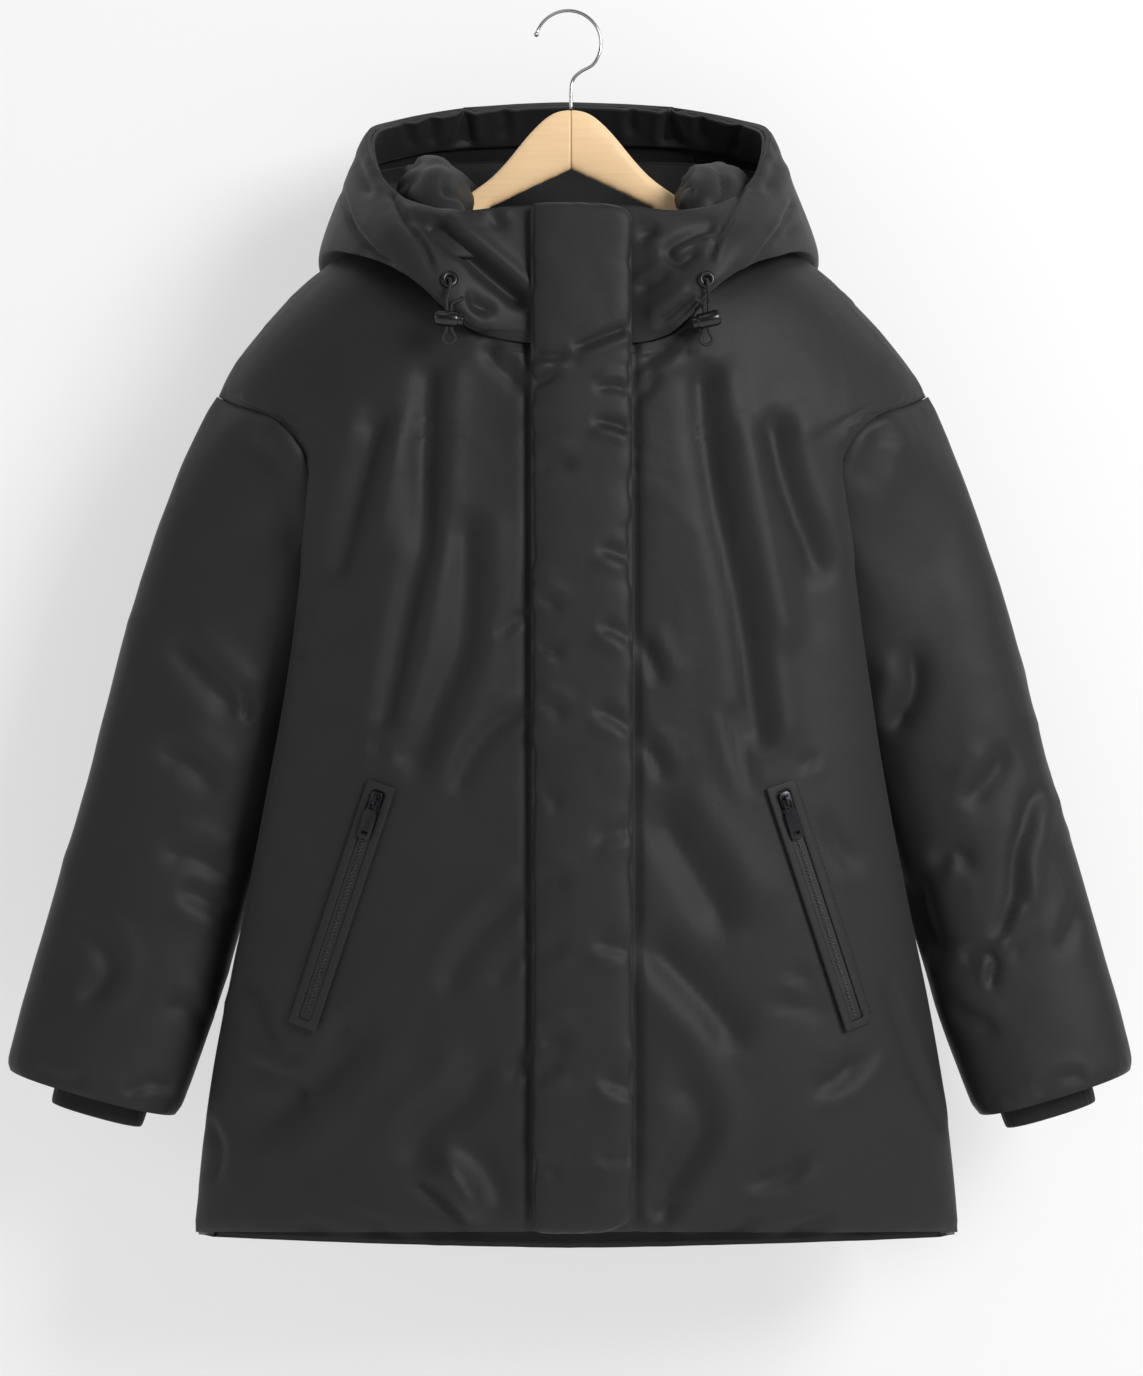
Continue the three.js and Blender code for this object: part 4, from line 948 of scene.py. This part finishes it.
def along_line(line, spacing, start=0.0, stop=0.0):
    """Places at an even spacing on a line, with the line's direction at each."""
    steps = np.diff(line, axis=0)
    lengths = np.linalg.norm(steps, axis=1)
    ends = np.concatenate([[0], np.cumsum(lengths)])
    at = np.arange(start, ends[-1] - stop, spacing)
    i = np.clip(np.searchsorted(ends, at, side="right") - 1, 0, len(steps) - 1)
    return line[i] + steps[i] * ((at - ends[i]) / lengths[i])[:, None], steps[i] / lengths[i][:, None], i


def capsule(long, radius, flat=1.0, sides=6):
    """A small rounded bar along X."""
    rings = [(-0.5, 0.0), (-0.42, 0.7), (-0.25, 1.0), (0.25, 1.0), (0.42, 0.7), (0.5, 0.0)]
    points, faces = [], []
    for along, share in rings:
        for k in range(sides):
            angle = 2 * math.pi * k / sides
            points.append((along * long, radius * share * math.cos(angle),
                           flat * radius * share * math.sin(angle)))
    for i in range(len(rings) - 1):
        for k in range(sides):
            a, b = i * sides + k, i * sides + (k + 1) % sides
            faces.append((a, b, b + sides, a + sides))
    return np.array(points), faces


def repeated(name, shape, places, xs, zs, material, body="parka"):
    """One mesh of a shape at many places; xs is the shape's long way and zs its way out."""
    points, faces = shape
    ys = np.cross(zs, xs)
    turned = (points[None, :, 0, None] * xs[:, None] + points[None, :, 1, None] * ys[:, None]
              + points[None, :, 2, None] * zs[:, None]) + places[:, None]
    count = len(points)
    all_faces = [tuple(v + k * count for v in face) for k in range(len(places)) for face in faces]
    mesh = bpy.data.meshes.new(name)
    mesh.from_pydata((turned.reshape(-1, 3) * MM).tolist(), [], all_faces)
    bm = bmesh.new()
    bm.from_mesh(mesh)
    bmesh.ops.remove_doubles(bm, verts=bm.verts, dist=0.001 * MM)
    bmesh.ops.recalc_face_normals(bm, faces=bm.faces)
    bm.to_mesh(mesh)
    bm.free()
    mesh.shade_smooth()
    print(name, len(places), "times")
    return show(name, mesh, material, body=body)


def unit(rows):
    return rows / (np.linalg.norm(rows, axis=-1, keepdims=True) + 1e-9)


def laid_on(name, points):
    """Points moved along Y onto the front of a piece, with the way out there."""
    bm = bmesh.new()
    bm.from_mesh(bpy.data.objects[name].data)
    tree = BVHTree.FromBMesh(bm)
    hits = [tree.ray_cast(Vector((x, BEFORE_COAT, z)) * MM, Vector((0, 1, 0))) for x, _, z in points]
    bm.free()
    found = [(place / MM, way) for place, way, _, _ in hits if place is not None]
    return (np.array([f[0][:] for f in found]), np.array([f[1][:] for f in found]),
            np.array([place is not None for place, _, _, _ in hits]))


BEFORE_COAT = -600
STITCH = capsule(2.9, 0.34, 0.8)
STITCH_SPACING = 4.1
STITCH_AWAY = 13.4
TOOTH_SPACING = 1.45
TOOTH = capsule(3.2, 0.62, 0.8)
for side in ("left", "right"):
    welt_mesh = divided_copy("pocket_welt_" + side, 1, math.radians(40), bevel=1.1)
    welt_mesh.shade_smooth()
    show("pocket_welt_%s_cloth" % side, welt_mesh, shell_cloth, ["pocket_welt_" + side])
    tape_mesh = divided_copy("zip_tape_" + side, 0)
    show("zip_tape_%s_cloth" % side, tape_mesh, tape_cloth, ["zip_tape_" + side])
    line, across = zip_line("zip_tape_" + side)
    at, way, part = along_line(line, TOOTH_SPACING, 1.0, 1.0)
    out = unit(np.cross(way, across[part]))
    out *= -np.sign(out[:, 1])[:, None]
    lean = np.where(np.arange(len(at)) % 2, 1.0, -1.0)[:, None]
    xs = unit(across[part] + 0.28 * lean * way)
    repeated("zip_coil_" + side, TOOTH, at + out * 0.35 + 0.55 * lean * across[part], xs,
             unit(out - (out * xs).sum(axis=1)[:, None] * xs), coil)
    at, way, part = along_line(line, STITCH_SPACING)
    rows = np.concatenate([at - STITCH_AWAY * across[part], at + STITCH_AWAY * across[part]])
    places, ways, hit = laid_on("front_%s_padded" % side, rows)
    ways *= -np.sign(ways[:, 1])[:, None]
    xs = np.concatenate([way, way])[hit]
    xs = unit(xs - (xs * ways).sum(axis=1)[:, None] * ways)
    repeated("pocket_stitches_" + side, STITCH, places + 0.1 * ways, xs, ways, thread)

# %% [markdown]
# ## Metal and plastic hardware
# The sliders, pull tabs, eyelets and cord locks keep their solids' shapes with small rounded edges.
# Each pull tab rides on its own body, so it swings about its slider's bridge.

# %% Hardware
lock_plastic, _, _ = new_material("lock_plastic", "#101011", 0.22)
HARDWARE = table(["name", "material", "slot", "body", "edge", "angle"], [
    ["slider_left", dark_metal, "dark_metal", "parka", 0.35, 30],
    ["slider_right", dark_metal, "dark_metal", "parka", 0.35, 30],
    ["pull_tab_left", dark_metal, "dark_metal", "pull_left", 0.3, 40],
    ["pull_tab_right", dark_metal, "dark_metal", "pull_right", 0.3, 40],
    ["eyelet_left", dark_metal, "dark_metal", "parka", 0.0, 60],
    ["eyelet_right", dark_metal, "dark_metal", "parka", 0.0, 60],
    ["cord_lock_left", lock_plastic, "lock_plastic", "parka", 0.3, 35],
    ["cord_lock_right", lock_plastic, "lock_plastic", "parka", 0.3, 35],
])
for row in HARDWARE:
    mesh = divided_copy(row["name"], 0, math.radians(row["angle"]), bevel=row["edge"])
    mesh.shade_smooth()
    mesh.set_sharp_from_angle(angle=math.radians(50))
    show(row["name"] + "_finish", mesh, row["material"], [row["name"]], row["body"])

# %% [markdown]
# ## Drawcords
# Each elastic cord leaves its eyelet, goes down through the lock, turns in a short loop below it, and
# goes back up to the second hole. Its route is the solid's own.

# %% Cords
CORD_SIDES = 8
CORD_DIAMETER = 2.7
LID_ANGLE = 0.02
LID_ACROSS = 3.0


def route(name):
    """The middle line of a cord's solid, ring by ring from its eyelet."""
    bm = bmesh.new()
    bm.from_mesh(nodes[name].data)
    bmesh.ops.remove_doubles(bm, verts=bm.verts, dist=WELD)
    lids = []
    for face in bm.faces:
        flat, grow = {face}, [face]
        while grow:
            for edge in grow.pop().edges:
                if edge.calc_face_angle(1) < LID_ANGLE:
                    new = set(edge.link_faces) - flat
                    flat |= new
                    grow += new
        ring = {v for f in flat for v in f.verts}
        if len(ring) == CORD_SIDES and max((v.co - face.verts[0].co).length for v in ring) < LID_ACROSS * MM:
            lids.append(ring)
    ring = max(lids, key=lambda lid: sum(v.co.z for v in lid))
    seen, line = set(ring), []
    while ring:
        line.append(np.mean(sorted(tuple(v.co) for v in ring), axis=0) / MM)
        ring = {e.other_vert(v) for v in ring for e in v.link_edges} - seen
        seen |= ring
    bm.free()
    return np.array(line)


def round_tube(points, radius, sides=14):
    """A closed round tube through points."""
    ways = unit(np.gradient(points, axis=0))
    side_way = unit(np.cross(ways[0], np.array([0.0, 1.0, 0.13])))
    verts, faces = [], []
    for p, way in zip(points, ways):
        side_way = unit(side_way - way * (side_way @ way))
        other = np.cross(way, side_way)
        for k in range(sides):
            angle = 2 * math.pi * k / sides
            verts.append(p + radius * (math.cos(angle) * side_way + math.sin(angle) * other))
    for i in range(len(points) - 1):
        for k in range(sides):
            a, b = i * sides + k, i * sides + (k + 1) % sides
            faces.append((a, b, b + sides, a + sides))
    faces.append(tuple(reversed(range(sides))))
    last = (len(points) - 1) * sides
    faces.append(tuple(range(last, last + sides)))
    return np.array(verts), faces


def tube_mesh(name, points, radius, sides=14):
    verts, faces = round_tube(points, radius, sides)
    mesh = bpy.data.meshes.new(name)
    mesh.from_pydata((verts * MM).tolist(), [], faces)
    bm = bmesh.new()
    bm.from_mesh(mesh)
    bmesh.ops.recalc_face_normals(bm, faces=bm.faces)
    bm.to_mesh(mesh)
    bm.free()
    mesh.shade_smooth()
    mesh.set_sharp_from_angle(angle=math.radians(60))
    return mesh


def braided():
    material, tree, shader = new_material("elastic_cord", "#161617", 0.7)
    tree.links.new(bump(tree, object_noise(tree, 0.6, 1), 0.25), shader.inputs["Normal"])
    return material


for side, sign in (("left", -1), ("right", 1)):
    roll = show("neck_roll_" + side, roll_mesh("neck_roll_" + side, sign), lining_cloth)

elastic = braided()
for side in ("left", "right"):
    name = "cord_" + side
    middle = route(name)
    fine = curve_through(middle, 3)
    cord = show(name + "_elastic", tube_mesh(name + "_elastic", fine, CORD_DIAMETER / 2), elastic, [name])

# %% [markdown]
# ## Hanger
# Two halves of pale beech meet at the middle with a mitre, so the grain forms a chevron. The hook is
# polished steel wire.

# %% Wood and steel
def wood(name, lean):
    material, tree, shader = new_material(name, "#efc696", 0.42)
    streaks = object_noise(tree, 2.2, 4, (30, 4, 1), lean)
    tone = varied(tree, streaks, "#f4c894", "#ffe0b2")
    tree.links.new(tone, shader.inputs["Base Color"])
    shader.inputs["Coat Weight"].default_value = 0.25
    shader.inputs["Coat Roughness"].default_value = 0.3
    tree.links.new(bump(tree, streaks, 0.04), shader.inputs["Normal"])
    return material


BAR_MIDDLE = 2.3
UNDERSIDE = np.array([(0, -123), (12, -124), (24, -128), (36, -134), (48, -143), (62, -156), (78, -165)])
UNDERSIDE_SLOPE = 0.467
NEAR_UNDERSIDE = 26


def straight_underside(points):
    """The bar's underside drawn into two straight lines that meet at the middle."""
    u = np.abs(points[:, 0] - BAR_MIDDLE)
    low = np.interp(u, UNDERSIDE[:, 0], UNDERSIDE[:, 1])
    share = 1 - smooth(0, NEAR_UNDERSIDE, points[:, 2] - low)
    moved = (UNDERSIDE[0, 1] - UNDERSIDE_SLOPE * u - low) * (1 - smooth(60, 78, u))
    points[:, 2] += share * moved
    return points


for side, lean in (("left", -0.5), ("right", 0.5)):
    name = "hanger_bar_" + side
    mesh = divided_copy(name, 2, math.radians(60), 0.75)
    set_points(mesh, straight_underside(as_points(mesh)))
    mesh.shade_smooth()
    show(name + "_wood", mesh, wood("beech_" + side, lean), [name])

steel, _, steel_shader = new_material("polished_steel", "#c9c9cb", 0.18, 1.0)
hook_mesh = divided_copy("hanger_hook", 1, math.radians(70))
hook_mesh.shade_smooth()
show("hanger_hook_steel", hook_mesh, steel, ["hanger_hook"])

# %% [markdown]
# ## Camera, stage and light
# The picture is taken level, from 2.6 m, before a pale wall. A large soft light stands to the upper
# right, so that the coat throws a faint shadow to the lower left.

# %% Stage
def plain_plane(name, corners, material):
    mesh = bpy.data.meshes.new(name)
    mesh.from_pydata([Vector(c) * MM for c in corners], [], [(0, 1, 2, 3)])
    mesh.materials.append(material)
    plane = bpy.data.objects.new(name, mesh)
    bpy.context.collection.objects.link(plane)
    plane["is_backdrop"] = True
    return plane


WALL_Y = 182
FLOOR_Z = -1500
HALF = 4000
wall_paint, _, paint_shader = new_material("pale_wall", "#acacac", 0.9)
paint_shader.inputs["Emission Color"].default_value = colour("#ffffff")
paint_shader.inputs["Emission Strength"].default_value = 0.54
plain_plane("backdrop", [(-HALF, WALL_Y, FLOOR_Z), (HALF, WALL_Y, FLOOR_Z), (HALF, WALL_Y, 3000),
                         (-HALF, WALL_Y, 3000)], wall_paint)
plain_plane("floor", [(-HALF, -HALF, FLOOR_Z), (HALF, -HALF, FLOOR_Z), (HALF, WALL_Y, FLOOR_Z),
                      (-HALF, WALL_Y, FLOOR_Z)], wall_paint)

camera_data = bpy.data.cameras.new("camera")
camera_data.sensor_fit = "HORIZONTAL"
camera_data.sensor_width = 36.0
camera_data.lens = 36.0 * EYE["away"] / (PICTURE["width"] * PIXEL)
camera = bpy.data.objects.new("camera", camera_data)
camera.location = (EYE["x"] * MM, -EYE["away"] * MM, EYE["z"] * MM)
camera.rotation_euler = (math.radians(90), 0, 0)
bpy.context.collection.objects.link(camera)
bpy.context.scene.camera = camera

LIGHTS = table(["name", "place", "aim", "size", "watts"], [
    ["key", (1500, -2000, 500), (0, 0, -450), 1.0, 56],
    ["fill", (-1900, -1500, -100), (0, 0, -550), 1.4, 5],
    ["top", (-500, -1100, 1500), (0, 60, -400), 1.2, 4],
])
for row in LIGHTS:
    light_data = bpy.data.lights.new(row["name"], "AREA")
    light_data.energy = row["watts"]
    light_data.size = row["size"]
    light = bpy.data.objects.new(row["name"], light_data)
    light.location = Vector(row["place"]) * MM
    way = (Vector(row["aim"]) - Vector(row["place"])).normalized()
    light.rotation_euler = way.to_track_quat("-Z", "Y").to_euler()
    bpy.context.collection.objects.link(light)
    light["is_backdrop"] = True

world = bpy.data.worlds.new("studio")
world.use_nodes = True
world.node_tree.nodes["Background"].inputs["Color"].default_value = (1, 1, 1, 1)
world.node_tree.nodes["Background"].inputs["Strength"].default_value = 0.17
bpy.context.scene.world = world
bpy.context.scene.view_settings.view_transform = "Standard"

# %% Sizes and the end
bounds_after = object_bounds()


def plain(value):
    if hasattr(value, "__len__") and not isinstance(value, str):
        return [plain(v) for v in value]
    return float(value)


{"before": plain(bounds_before), "after": plain(bounds_after)}
